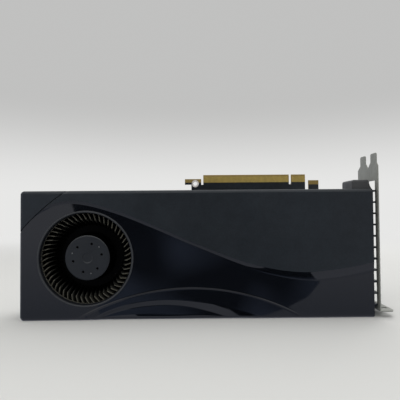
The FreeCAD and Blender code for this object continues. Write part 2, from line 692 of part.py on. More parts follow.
def board_parts():
    """The pieces soldered to the board, by node name."""
    package_top = 2.0
    package = chip(GPU_U, GPU_Z, 20.0, 20.0, package_top)
    frame = block(GPU_U - 19.5, GPU_U + 19.5, 32.3, 32.9, GPU_Z - 19.5, GPU_Z + 19.5)
    frame = frame.cut(block(GPU_U - 15, GPU_U + 15, 30, 34, GPU_Z - 14, GPU_Z + 14))
    die = block(GPU_U - 11.5, GPU_U + 11.5, 32.08, 32.9, GPU_Z - 9.5, GPU_Z + 9.5)
    memory, pads = [], []
    for u, z, flat in MEMORY_PLACES:
        half_u, half_z = (7.0, 6.0) if flat else (6.0, 7.0)
        memory.append(chip(u, z, half_u, half_z, 1.2))
        wide, tall = half_u - 0.5, half_z - 0.5
        pads.append(block(u - wide, u + wide, 31.92, 33.7, z - tall, z + tall))
    pads.append(block(STAGE_U - 3.0, STAGE_U + 3.0, 31.92, 34.0, 9.0, 88.0))
    stages = [chip(STAGE_U, z, 2.5, 3.0, 0.9) for z in STAGE_ROWS]
    left, right = INDUCTOR_U - 4.4, INDUCTOR_U + 4.4
    inductors = [
        rounded_block(left, right, BOARD_FRONT - 5.6, BOARD_FRONT, z - 4.2, z + 4.2, 0.8)
        for z in STAGE_ROWS
    ]
    cans = []
    left, right = CAPACITOR_U - 3.2, CAPACITOR_U + 3.2
    for z in [13.4 + 8.6 * k for k in range(8)]:
        base = rounded_block(left, right, BOARD_FRONT - 1.0, BOARD_FRONT, z - 3.2, z + 3.2, 0.8)
        can = rod(CAPACITOR_U, z, BOARD_FRONT - 5.4, BOARD_FRONT - 1.0, 3.0)
        groove = tube(CAPACITOR_U, z, BOARD_FRONT - 2.2, BOARD_FRONT - 1.7, 4.0, 2.75)
        cans.append(base.fuse(can.cut(groove)))
    small = [chip(126.5, 14.0 + 9.0 * k, 0.8, 1.6, 0.9) for k in range(9)]
    small += [chip(152.0 + 5.2 * k, 86.0, 1.6, 0.8, 0.9) for k in range(10)]
    small += [
        chip(u, 93.0, 0.5, 1.0, 0.6) for u in [142.0 + 3.0 * k for k in range(27)] if abs(u - 186) > 4
    ]
    controllers = [
        chip(232.0, 18.0, 3.5, 3.5, 0.9),
        chip(212.0, 86.0, 2.5, 3.0, 1.6),
        chip(76.0, 86.0, 3.0, 3.0, 0.9),
        chip(64.0, 8.0, 4.0, 2.4, 0.9),
    ]
    behind = []
    for column in range(8):
        for row in range(6):
            u, z = GPU_U - 10.5 + 3.0 * column, GPU_Z - 7.5 + 3.0 * row
            behind.append(block(u - 0.5, u + 0.5, BOARD_BACK, BOARD_BACK + 0.7, z - 0.9, z + 0.9))
    for u, z in [(CAPACITOR_U + 5 * k, row) for k in (0, 1, 2) for row in STAGE_ROWS]:
        behind.append(block(u - 1.2, u + 1.2, BOARD_BACK, BOARD_BACK + 1.1, z - 0.8, z + 0.8))
    for u in [216.0 - 6.0 * k for k in range(12)]:
        behind.append(block(u - 0.5, u + 0.5, BOARD_BACK, BOARD_BACK + 0.5, 99.2, 100.4))
    backs = [
        block(u - 3, u + 3, BOARD_BACK, BOARD_BACK + 0.9, z - 2.4, z + 2.4)
        for u, z in ((126.0, 30.0), (126.0, 66.0), (228.0, 40.0), (66.0, 74.0))
    ]
    return {
        "gpu_package": package,
        "gpu_stiffener": frame,
        "gpu_die": die,
        "memory_chips": memory,
        "thermal_pads": pads,
        "power_stages": stages,
        "inductors": inductors,
        "capacitor_cans": cans,
        "ceramic_capacitors_front": small,
        "controller_chips": controllers,
        "ceramic_capacitors_back": behind,
        "back_chips": backs,
    }


# ---------------------------------------------------------------- connectors
PORT_END = BRACKET_U + BRACKET_THICK + 0.5
DISPLAY_PORTS = (21.0, 44.0, 90.0)
MEDIA_PORT = 67.0
PORT_D = 30.6


def section(points, u0, u1):
    """A (d, z) outline stretched along the card from u0 to u1."""
    corners = [at(u0, d, z) for d, z in points]
    return Part.Face(Part.makePolygon(corners + corners[:1])).extrude(V(u1 - u0, 0, 0))


def display_outline(z, grow):
    """A rectangular socket with one corner cut off."""
    half_z, half_d, cut = 8.05 + grow, 2.38 + grow, 2.2
    return [
        (PORT_D - half_d, z - half_z),
        (PORT_D - half_d, z + half_z),
        (PORT_D + half_d - cut, z + half_z),
        (PORT_D + half_d, z + half_z - cut),
        (PORT_D + half_d, z - half_z),
    ]


def media_outline(z, grow):
    """A socket whose two lower corners step inwards."""
    half_z, half_d, cut = 7.0 + grow, 2.28 + grow, 1.5
    return [
        (PORT_D - half_d, z - half_z),
        (PORT_D - half_d, z + half_z),
        (PORT_D + half_d - cut, z + half_z),
        (PORT_D + half_d, z + half_z - cut),
        (PORT_D + half_d, z - half_z + cut),
        (PORT_D + half_d - cut, z - half_z),
    ]


def port_shell(outline, z, depth):
    """A thin metal shell, closed at the back, with two legs down to the board."""
    thick = 0.4
    start = PORT_END - depth
    shell = section(outline(z, thick), start, PORT_END)
    shell = shell.cut(section(outline(z, 0.0), start + 1.0, PORT_END + 1))
    legs = [
        block(start + 1, start + 4, PORT_D + 2.4, BOARD_FRONT, z + k - 0.4, z + k + 0.4)
        for k in (-5.0, 5.0)
    ]
    return shell.fuse(legs).removeSplitter()


def port_tongue(z, half_z, depth, back):
    """The plastic tongue inside a socket."""
    start = PORT_END - depth + 1.02
    root = block(start, start + 2.0, PORT_D - 1.7, PORT_D + 1.7, z - half_z, z + half_z)
    blade_part = block(start + 1, PORT_END - 2.2, PORT_D - back, PORT_D + back, z - half_z, z + half_z)
    return root.fuse(blade_part).removeSplitter()


def port_contacts(z, count, pitch, depth, back):
    """The gold leaves on one face of a socket's tongue."""
    leaves = []
    for index in range(count):
        centre = z + pitch * (index - (count - 1) / 2)
        leaves.append(
            block(
                PORT_END - depth + 3.4,
                PORT_END - 2.6,
                PORT_D - back - 0.12,
                PORT_D - back,
                centre - pitch * 0.28,
                centre + pitch * 0.28,
            )
        )
    return leaves


POWER_FRONT = 23.6
POWER_DEPTH = 13.2
POWER_PITCH = 4.2
PIN_ROOT = 9.6


def power_pockets():
    """The (d, z) centres of the eight contact pockets."""
    rows = (POWER_FRONT + 3.0, POWER_FRONT + 3.0 + POWER_PITCH)
    return [(d, POWER_Z + POWER_PITCH * (k - 1.5)) for d in rows for k in range(4)]


def power_connector():
    """The eight-way power socket, which faces off the card's tail."""
    start, end = 0.0, POWER_DEPTH
    body = block(start, end, POWER_FRONT, BOARD_FRONT, POWER_Z - 9.2, POWER_Z + 9.2)
    foot = block(start - 1, 9.0, BOARD_FRONT - 1.6, 40, POWER_Z - 12, POWER_Z + 12)
    latch = block(start, 6.5, POWER_FRONT - 1.3, POWER_FRONT + 0.1, POWER_Z - 2.0, POWER_Z + 2.0)
    body = body.cut(foot).fuse(latch)
    pockets = [
        block(start - 1, PIN_ROOT, d - 1.72, d + 1.72, z - 1.72, z + 1.72) for d, z in power_pockets()
    ]
    return body.cut(pockets)


def power_pins():
    """A square pin in each pocket."""
    return [block(1.4, PIN_ROOT, d - 0.55, d + 0.55, z - 0.55, z + 0.55) for d, z in power_pockets()]


HEADER_U = 90.5
HEADER_Z = 86.6


def lead_point(reach, degrees, d):
    """A point on the lead's route, given about the fan's axis."""
    u, z = fan_point(reach, degrees)
    return u, d, z


def fan_wiring():
    """The blower's lead, its plug and the header it goes into, by node name."""
    header = block(HEADER_U - 3.0, HEADER_U + 3.0, 29.2, BOARD_FRONT, HEADER_Z - 2.2, HEADER_Z + 2.2)
    hollow = block(HEADER_U - 2.5, HEADER_U + 2.5, 28, 33.4, HEADER_Z - 1.7, HEADER_Z + 1.7)
    plug = block(HEADER_U - 2.45, HEADER_U + 2.45, 26.8, 33.0, HEADER_Z - 1.65, HEADER_Z + 1.65)
    route = [
        lead_point(9.5, LEAD_ANGLE, 27.15),
        lead_point(13.5, LEAD_ANGLE, 27.6),
        lead_point(19.0, LEAD_ANGLE, 29.02),
        lead_point(28.0, LEAD_ANGLE + 3, 29.0),
        lead_point(37.0, LEAD_ANGLE + 1, 29.02),
        lead_point(45.0, LEAD_ANGLE + 2, 28.9),
        (82.0, 28.4, 86.0),
        (HEADER_U - 2.55, 28.0, HEADER_Z),
    ]
    return {"fan_header": header.cut(hollow), "fan_plug": plug, "fan_lead": bent_tube(route, 0.7)}


def bent_tube(route, radius):
    """A tube along straight runs joined by tangent arcs, as large as the runs allow."""
    points = [at(*p) for p in route]
    edges, radii = [], []
    start = points[0]
    for before, corner, after in zip(points, points[1:], points[2:]):
        back, ahead = before - corner, after - corner
        shorter = min(back.Length, ahead.Length)
        back.normalize()
        ahead.normalize()
        turn = math.pi - back.getAngle(ahead)
        trim = 0.45 * shorter
        bend_radius = trim / math.tan(turn / 2)
        radii.append(round(bend_radius, 1))
        first, last = corner + back * trim, corner + ahead * trim
        middle_way = back + ahead
        middle_way.normalize()
        reach = bend_radius / math.cos(turn / 2) - bend_radius
        edges.append(Part.LineSegment(start, first).toShape())
        edges.append(Part.Arc(first, corner + middle_way * reach, last).toShape())
        start = last
    edges.append(Part.LineSegment(start, points[-1]).toShape())
    path = Part.Wire(edges)
    circle = Part.Wire(Part.makeCircle(radius, points[0], points[1] - points[0]))
    swept = path.makePipeShell([circle], True, False)
    expected = math.pi * radius**2 * path.Length
    print("tube volume over section times length: %.4f" % (swept.Volume / expected))
    print("bend radii", radii)
    return swept


# ---------------------------------------------------------------- bracket
TAIL_NEAR = (1.7, 11.9)
TAIL_FAR = (22.0, 32.2)
VENT_NEAR = 4.6
VENT_FAR = 17.6
VENT_HEIGHT = 7.2
SCREW_HOLE_U = 7.6
SCREW_HOLES_D = (9.8, 30.12)
SCREW_HOLE_RADIUS = 2.2


def bracket():
    """The steel slot bracket: plate, two tails, flange, port openings, vents and board tabs."""
    top = FLANGE_Z + BRACKET_LENGTH
    outline = [
        (BRACKET_NEAR, FLANGE_Z),
        (BRACKET_NEAR, top - 10.0),
        (TAIL_NEAR[0], top - 7.3),
        (TAIL_NEAR[0], top - 1.0),
        (TAIL_NEAR[0] + 1.0, top),
        (TAIL_NEAR[1] - 1.0, top),
        (TAIL_NEAR[1], top - 1.0),
        (TAIL_NEAR[1], top - 6.4),
        (16.95, top - 11.0),
        (TAIL_FAR[0], top - 6.4),
        (TAIL_FAR[0], top - 1.0),
        (TAIL_FAR[0] + 1.0, top),
        (TAIL_FAR[1] - 1.0, top),
        (TAIL_FAR[1], top - 1.0),
        (TAIL_FAR[1], top - 7.5),
        (BRACKET_FAR, top - 10.8),
        (BRACKET_FAR, FLANGE_Z),
    ]
    inner, outer = BRACKET_U, BRACKET_U + BRACKET_THICK
    plate = section(outline, inner, outer)
    reach = BRACKET_U + FLANGE_REACH
    flange_points = [
        (inner, BRACKET_NEAR),
        (reach - 2.0, BRACKET_NEAR),
        (reach, BRACKET_NEAR + 3.4),
        (reach, BRACKET_FAR - 3.4),
        (reach - 2.0, BRACKET_FAR),
        (inner, BRACKET_FAR),
    ]
    corners = [at(u, d, FLANGE_Z) for u, d in flange_points]
    flange = Part.Face(Part.makePolygon(corners + corners[:1])).extrude(V(0, 0, BRACKET_THICK))
    tabs = []
    for z in BRACKET_TABS:
        tab = rounded_block(
            TAB_SCREW_U - 4, inner + 0.1, BOARD_FRONT - 0.85, BOARD_FRONT - 0.05, z - 3, z + 3, 0.6
        )
        tabs.append(tab)
    body = plate.fuse([flange] + tabs)
    bend = edges_where(
        body,
        lambda u, d, z, t: abs(t.y) > 0.9 and abs(u - inner) < 0.05 and abs(z - FLANGE_Z) < 0.05,
    )
    body = body.removeSplitter().makeFillet(0.7, bend)
    holes = []
    for index in range(RIB_COUNT):
        middle = RIB_FIRST_Z + RIB_PITCH * (index + 0.5)
        low, high = middle - VENT_HEIGHT / 2, middle + VENT_HEIGHT / 2
        holes.append(block(inner - 1, outer + 1, VENT_NEAR, VENT_FAR, low, high))
    holes += [section(display_outline(z, 0.65), inner - 0.5, outer + 1) for z in DISPLAY_PORTS]
    holes.append(section(media_outline(MEDIA_PORT, 0.65), inner - 0.5, outer + 1))
    for d in SCREW_HOLES_D:
        holes.append(Part.makeCylinder(SCREW_HOLE_RADIUS, 5, at(inner + SCREW_HOLE_U, d, FLANGE_Z - 2)))
    holes += [rod(TAB_SCREW_U, z, 30, 40, 1.3) for z in BRACKET_TABS]
    return body.cut(holes)


def bracket_screws():
    """Two screws from behind the board into the bracket's tabs."""
    screws = []
    for z in BRACKET_TABS:
        shank = rod(TAB_SCREW_U, z, BOARD_FRONT - 1.6, BOARD_BACK + 0.2, 1.25)
        screws.append(back_head(TAB_SCREW_U, z, BOARD_BACK + 0.02, 2.6, 1.5).fuse(shank))
    return screws


# ---------------------------------------------------------------- back of the board
def back_head(u, z, d, radius, height):
    """A domed cross-head on the back of the board."""
    head = turned_profile(
        [(0, d), (radius, d), (radius, d + height * 0.55), (radius * 0.7, d + height), (0, d + height)],
        u,
        z,
    )
    across, deep = radius * 0.55, d + height * 0.45
    slot_one = block(u - across, u + across, deep, d + height + 1, z - 0.3, z + 0.3)
    slot_two = block(u - 0.3, u + 0.3, deep, d + height + 1, z - across, z + across)
    return head.cut([slot_one, slot_two])


def board_screws():
    """Screws that hold the board to the tray."""
    screws = []
    for u, z in TRAY_SCREWS:
        shank = rod(u, z, 31.0, BOARD_BACK + 0.2, 1.2)
        screws.append(back_head(u, z, BOARD_BACK + 0.02, 2.5, 1.4).fuse(shank))
    return screws


CLAMP_FRONT = BOARD_BACK + 1.0
CLAMP_THICK = 0.9


def clamp_plate():
    """The four-armed leaf behind the chip; its centre is open over the capacitors."""
    back = CLAMP_FRONT + CLAMP_THICK
    ring = rounded_block(GPU_U - 18, GPU_U + 18, CLAMP_FRONT, back, GPU_Z - 18, GPU_Z + 18, 5)
    arms = []
    for k in range(4):
        arm = block(GPU_U, GPU_U + CLAMP_HALF * math.sqrt(2), CLAMP_FRONT, back, GPU_Z - 4, GPU_Z + 4)
        arm.rotate(at(GPU_U, 0, GPU_Z), FAN_AXIS, 45 + 90 * k)
        arms.append(arm)
    pads = [rod(u, z, CLAMP_FRONT, back, 4.6) for u, z in clamp_points()]
    plate = ring.fuse(arms + pads)
    window = rounded_block(GPU_U - 12.5, GPU_U + 12.5, 30, 45, GPU_Z - 10, GPU_Z + 10, 3)
    holes = [rod(u, z, 30, 45, 1.5) for u, z in clamp_points()]
    return plate.cut([window] + holes).removeSplitter()


def clamp_screws():
    """Four screws that pull the clamp plate and the cold plate together."""
    screws = []
    for u, z in clamp_points():
        shank = rod(u, z, 29.6, CLAMP_FRONT + CLAMP_THICK + 0.1, 1.2)
        screws.append(back_head(u, z, CLAMP_FRONT + CLAMP_THICK + 0.02, 2.7, 0.69).fuse(shank))
    return screws


def clamp_springs():
    """A flat wave washer under each arm of the clamp plate."""
    return [tube(u, z, BOARD_BACK + 0.05, CLAMP_FRONT - 0.02, 2.6, 1.5) for u, z in clamp_points()]


# ---------------------------------------------------------------- all nodes
def build():
    """Makes every node and writes it."""
    os.makedirs("parts", exist_ok=True)
    nodes = {
        "shroud": shroud(),
        "impeller": impeller(),
        "rotor_cup": rotor_cup(),
        "fan_frame": fan_frame(),
        "fan_screws": fan_screws(),
        "base_tray": base_tray(),
        "cold_plate": cold_plate(),
        "fins": fins(),
        "circuit_board": circuit_board(),
        "edge_contacts": edge_contacts(),
        "hook_ring": hook_ring(),
        "displayport_shells": [port_shell(display_outline, z, 15.0) for z in DISPLAY_PORTS],
        "displayport_tongues": [port_tongue(z, 6.2, 15.0, 0.75) for z in DISPLAY_PORTS],
        "hdmi_shell": port_shell(media_outline, MEDIA_PORT, 12.5),
        "hdmi_tongue": port_tongue(MEDIA_PORT, 5.2, 12.5, 0.7),
        "port_contacts": [
            leaf for z in DISPLAY_PORTS for leaf in port_contacts(z, 10, 1.0, 15.0, 0.75)
        ]
        + port_contacts(MEDIA_PORT, 10, 1.0, 12.5, 0.7),
        "power_connector": power_connector(),
        "power_pins": power_pins(),
        "bracket": bracket(),
        "bracket_screws": bracket_screws(),
        "board_screws": board_screws(),
        "clamp_plate": clamp_plate(),
        "clamp_screws": clamp_screws(),
        "clamp_springs": clamp_springs(),
        "ear_screws": ear_screws(),
    }
    nodes.update(motor_parts())
    nodes.update(board_parts())
    nodes.update(fan_wiring())
    for name, shape in nodes.items():
        save(name, shape)
    print("nodes", len(nodes))


build()
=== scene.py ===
"""Looks for a two-slot graphics card with a radial blower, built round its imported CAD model.

A place on the card is given as (u, d, z) in millimetres: u is the distance from the tail end,
d the depth behind the shroud's front plane and z the height above the resting edge.
"""

import random
from math import cos, exp, hypot, pi, radians, sin, sqrt

import bmesh
import bpy
from mathutils import Matrix, Vector


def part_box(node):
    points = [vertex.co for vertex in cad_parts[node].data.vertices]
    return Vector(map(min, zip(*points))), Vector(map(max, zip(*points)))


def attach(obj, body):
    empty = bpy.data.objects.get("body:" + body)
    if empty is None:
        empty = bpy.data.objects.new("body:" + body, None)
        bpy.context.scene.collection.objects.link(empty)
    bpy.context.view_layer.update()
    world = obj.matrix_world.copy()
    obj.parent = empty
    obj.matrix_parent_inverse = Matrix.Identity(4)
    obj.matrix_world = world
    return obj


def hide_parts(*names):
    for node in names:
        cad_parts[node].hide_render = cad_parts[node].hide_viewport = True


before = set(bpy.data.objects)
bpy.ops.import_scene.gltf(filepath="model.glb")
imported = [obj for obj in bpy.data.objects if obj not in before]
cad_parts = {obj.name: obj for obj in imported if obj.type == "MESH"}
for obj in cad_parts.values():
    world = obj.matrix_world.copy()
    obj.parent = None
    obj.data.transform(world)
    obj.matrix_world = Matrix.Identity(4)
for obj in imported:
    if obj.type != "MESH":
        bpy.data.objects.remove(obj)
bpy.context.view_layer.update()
MM = 0.001

# ---- places taken from the frame
SHROUD_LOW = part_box("shroud")[0]
TAIL, FACE = SHROUD_LOW.x, SHROUD_LOW.y


def place(u, d, z):
    """The point (u, d, z) in the row frame, in metres."""
    return Vector((TAIL + u * MM, FACE + d * MM, z * MM))


def span(node):
    """A CAD node's box as ((u0, u1), (d0, d1), (z0, z1))."""
    low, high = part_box(node)
    return (
        ((low.x - TAIL) / MM, (high.x - TAIL) / MM),
        ((low.y - FACE) / MM, (high.y - FACE) / MM),
        (low.z / MM, high.z / MM),
    )


def middle(pair):
    """The middle of a (low, high) pair."""
    return (pair[0] + pair[1]) / 2


def centre(node):
    """The (u, z) of the middle of a CAD node's box."""
    us, _, zs = span(node)
    return middle(us), middle(zs)


BOARD_FRONT, BOARD_BACK = span("circuit_board")[1]
FLANGE_REACH = 11.43
BRACKET_U = span("bracket")[0][1] - FLANGE_REACH
FAN_U, FAN_Z = centre("motor_shaft")
GPU_U, GPU_Z = centre("gpu_package")

# ---- driving dimensions
SHROUD_LENGTH = 266.0
SHROUD_HEIGHT = 97.0
SHROUD_BACK = 29.6
WALL = 2.0
INNER_FACE = 4.4
CORNER_RADIUS = 3.0
EDGE_ROUND = 2.2
EDGE_POWER = 1.5  # 1 is a flat chamfer and 2 a quarter circle
GLOSS_LEVEL = 0.8
SWEEP_POWER = 1.35  # how early the gloss field's slope under the sweep ends; 2 is a parabola
CORNER_LEVEL = 0.35
GROOVE_HALF = 0.45
GROOVE_DEPTH = 0.9
SEAM_SLANT = 0.74  # the seam runs aslant, so a height off it is this much as far away
SEAM = ((0.0, 66.0), (16.4, 82.7), (35.5, 97.0))
SWEEP = [
    (8.0, 77.6), (18.0, 84.2), (27.0, 88.0), (42.4, 89.4), (70.4, 82.3), (100.8, 70.1),
    (134.0, 55.6), (175.4, 40.6), (210.0, 34.7), (239.6, 36.7), (SHROUD_LENGTH, 41.4),
]
UPPER_ARCH = ((41.0, 0.0), (127.0, 23.4), (214.0, 0.0))
BAND_HIGH = [
    (50.0, -1.0), (65.5, 6.5), (84.8, 12.3), (108.9, 14.7), (139.2, 12.4), (157.3, 8.6), (190.0, -1.0),
]
BAND_LOW = [
    (50.0, -4.0), (65.5, 4.1), (84.0, 8.8), (104.1, 10.7), (118.6, 10.2), (133.0, 7.6), (165.0, -2.0),
]
ARCH_STEP, BEAD_RISE, BEAD_WIDTH, BAND_DEPTH = 0.34, 0.22, 0.38, 0.9
INTAKE_RADIUS = 34.0
IMPELLER_RADIUS = 35.2
HUB_RADIUS = 17.3
HUB_FACE = 7.0
BLADE_COUNT = 53
BLADE_FRONT = 5.4
BACK_DISC = (24.6, 25.8)
RIB_PLACES = [9.2 + 8.63 * k for k in range(11)]
RIB_START = 264.8
HUMP = {"start": 252.6, "top": 104.2, "near": 5.0, "wall": 1.3}
HUMP_END = [
    (265.6, 104.2), (265.75, 102.4), (266.05, 100.9), (266.6, 99.3), (267.5, 97.6), (268.6, 96.2),
]
HUMP_ROUND = 2.6
EAR_PLACES = (24.0, 120.0, 226.0)
EAR_SCREW_D, EAR_BACK = 32.2, 34.2
EAR_HOLE, EAR_SEAT, EAR_SEAT_DEEP = 0.95, 1.75, 0.7
SOCKET_WALL_START = 243.8
PAST_END, PAST_BACK = 290, 60  # how far a cutter reaches so that it comes out of the part
POWER_Z, POWER_HALF, POWER_FRONT = 12.5, 9.6, 21.6
CONTACT_TOP = 104.9
TAB_TOP = 102.7
TAB_U = 225.0  # the edge connector's bare core is lower on the small tab beyond this
HUB_MARKS, HUB_PIPS, PIP_TURN = 11.1, 12.1, 43  # the rings of pockets and pips, and their turn
TRACK_HEIGHT = 0.035
BACK_PARTS = ("ceramic_capacitors_back", "back_chips", "board_screws", "bracket_screws", "clamp_screws")


# ---- curves
def circle(radius, steps, u=0.0, z=0.0):
    """Points (u, z) round a circle."""
    turns = [2 * pi * k / steps for k in range(steps)]
    return [(u + radius * cos(a), z + radius * sin(a)) for a in turns]


def round_fan(reach, degrees):
    """The (u, z) of a spot at a radius and an angle round the fan's axis."""
    angle = radians(degrees)
    return FAN_U + reach * cos(angle), FAN_Z + reach * sin(angle)


def smooth_step(x, low=0.0, high=1.0):
    """0 below low, 1 above high and a smooth ramp between."""
    t = min(max((x - low) / (high - low), 0.0), 1.0)
    return t * t * (3 - 2 * t)


def curve_through(points):
    """A smooth height as a function of u, through points in order of u."""
    slopes = []
    for index in range(len(points)):
        before, after = points[max(index - 1, 0)], points[min(index + 1, len(points) - 1)]
        slopes.append((after[1] - before[1]) / (after[0] - before[0]))

    def height(u):
        """The Hermite curve's height at u, straight beyond its ends."""
        if u <= points[0][0]:
            return points[0][1] + slopes[0] * (u - points[0][0])
        if u >= points[-1][0]:
            return points[-1][1] + slopes[-1] * (u - points[-1][0])
        index = max(i for i in range(len(points) - 1) if points[i][0] <= u)
        (u0, z0), (u1, z1) = points[index], points[index + 1]
        gap = u1 - u0
        t = (u - u0) / gap
        rise = z0 * (1 + 2 * t) * (1 - t) ** 2 + z1 * t * t * (3 - 2 * t)
        return rise + gap * (slopes[index] * t * (1 - t) ** 2 - slopes[index + 1] * t * t * (1 - t))

    return height


def circle_through(a, b, c):
    """The height, as a function of u, of the circle through three points, on b's side."""
    ma = ((a[0] + b[0]) / 2, (a[1] + b[1]) / 2)
    mb = ((b[0] + c[0]) / 2, (b[1] + c[1]) / 2)
    da, db = (b[0] - a[0], b[1] - a[1]), (c[0] - b[0], c[1] - b[1])
    pa, pb = da[0] * ma[0] + da[1] * ma[1], db[0] * mb[0] + db[1] * mb[1]
    det = da[0] * db[1] - da[1] * db[0]
    cu, cz = (pa * db[1] - pb * da[1]) / det, (da[0] * pb - db[0] * pa) / det
    radius = hypot(a[0] - cu, a[1] - cz)
    side = 1 if b[1] > cz else -1

    def height(u):
        """The circle's height at u, held at its widest beyond it."""
        return cz + side * sqrt(max(radius**2 - (u - cu) ** 2, 0.0))

    return height


sweep = curve_through(SWEEP)
upper_arch = circle_through(*UPPER_ARCH)
band_high = curve_through(BAND_HIGH)
band_low = curve_through(BAND_LOW)
seam_circle = circle_through(*SEAM)


def seam(u):
    """The seam's height; beyond its upper end it leaves the face."""
    return seam_circle(u) if u < SEAM[2][0] else SHROUD_HEIGHT + 0.6 * (u - SEAM[2][0])


def sweep_width(u):
    """How far below the sweep the gloss field still curves away."""
    return 2.2 + 4.6 * smooth_step(u, 130, 240)


# ---- mesh helpers
def revolve(profile, steps, closed):
    """Points (across, across, level) and faces of a (radius, level) profile turned all round."""
    points, faces = [], []
    count = len(profile)
    for k in range(steps):
        angle, here, there = 2 * pi * k / steps, k * count, (k + 1) % steps * count
        points += [(r * cos(angle), r * sin(angle), level) for r, level in profile]
        for i in range(count if closed else count - 1):
            j = (i + 1) % count
            faces.append((here + i, there + i, there + j, here + j))
    return points, faces


class Shape:
    """Collects points, given as (u, d, z), and faces into one mesh."""

    def __init__(self):
        self.points, self.faces, self.marks = [], [], []

    def add(self, points, faces, mark=0):
        """Adds points and the faces between them; the mark is the faces' material."""
        base = len(self.points)
        self.points += points
        self.faces += [[base + i for i in face] for face in faces]
        self.marks += [mark] * len(faces)
        return self

    def box(self, us, ds, zs, mark=0):
        """A box between (low, high) pairs."""
        points = [(u, d, z) for u in us for d in ds for z in zs]
        faces = [(0, 1, 3, 2), (4, 6, 7, 5), (0, 4, 5, 1), (2, 3, 7, 6), (0, 2, 6, 4), (1, 5, 7, 3)]
        return self.add(points, faces, mark)

    def loft(self, rings):
        """A skin over rings of equally many points, capped at both ends."""
        count = len(rings[0])
        last = (len(rings) - 1) * count
        faces = []
        for near in range(0, last, count):
            for i in range(count):
                j = (i + 1) % count
                faces.append((near + i, near + j, near + count + j, near + count + i))
        faces += [tuple(reversed(range(count))), tuple(range(last, last + count))]
        return self.add([p for ring in rings for p in ring], faces)

    def prism(self, outline, d0, d1):
        """A (u, z) outline thickened from depth d0 to d1."""
        return self.loft([[(u, d, z) for u, z in outline] for d in (d0, d1)])

    def turned(self, profile, u, z, steps, closed=True):
        """(radius, d) points turned about a depth axis at (u, z)."""
        points, faces = revolve(profile, steps, closed)
        return self.add([(u + a, d, z + b) for a, b, d in points], faces)

    def make(self, name):
        """The mesh object, with doubled points merged and normals outward."""
        mesh = bpy.data.meshes.new(name)
        mesh.from_pydata([place(*p) for p in self.points], [], self.faces)
        mesh.polygons.foreach_set("material_index", self.marks)
        tidy = bmesh.new()
        tidy.from_mesh(mesh)
        bmesh.ops.remove_doubles(tidy, verts=tidy.verts, dist=1e-7)
        bmesh.ops.recalc_face_normals(tidy, faces=tidy.faces)
        tidy.to_mesh(mesh)
        tidy.free()
        return link(bpy.data.objects.new(name, mesh))

    def piece(self, name, slot, *looks, body="card", rounding=None, smooth=32):
        """The finished piece, its edges rounded by a width or only shaded."""
        made = self.make(name)
        if rounding:
            soften(made, rounding, weld=False)
        else:
            shade(made, smooth)
        return finish_piece(made, body, slot, *looks)


def link(made):
    """Puts an object into the scene."""
    bpy.context.scene.collection.objects.link(made)
    return made


def cut(made, cutters):
    """Cuts other objects away; they are used up."""
    for cutter in cutters:
        step = made.modifiers.new("boolean", "BOOLEAN")
        step.operation, step.solver, step.object = "DIFFERENCE", "EXACT", cutter
    graph = bpy.context.evaluated_depsgraph_get()
    mesh = bpy.data.meshes.new_from_object(made.evaluated_get(graph))
    made.modifiers.clear()
    made.data = mesh
    for cutter in cutters:
        bpy.data.objects.remove(cutter)


def shade(made, degrees=32):
    """Smooth shading that keeps edges sharper than an angle."""
    made.data.shade_smooth()
    made.data.set_sharp_from_angle(angle=radians(degrees))


def soften(made, width, steps=2, degrees=38, weld=True):
    """Rounds the sharp edges by a width in millimetres."""
    made.data.shade_smooth()
    if weld:
        made.modifiers.new("weld", "WELD").merge_threshold = 2e-6
        flat = made.modifiers.new("flat", "DECIMATE")
        flat.decimate_type, flat.angle_limit = "DISSOLVE", radians(0.5)
    round_off = made.modifiers.new("round", "BEVEL")
    round_off.width, round_off.segments = width * MM, steps
    round_off.limit_method, round_off.angle_limit = "ANGLE", radians(degrees)
    made.modifiers.new("normals", "WEIGHTED_NORMAL").keep_sharp = True


def finish_piece(made, body, slot, *looks):
    """Gives a new piece its body and its materials; the slot is not used."""
    for look in looks:
        made.data.materials.append(look)
    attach(made, body)
    return made


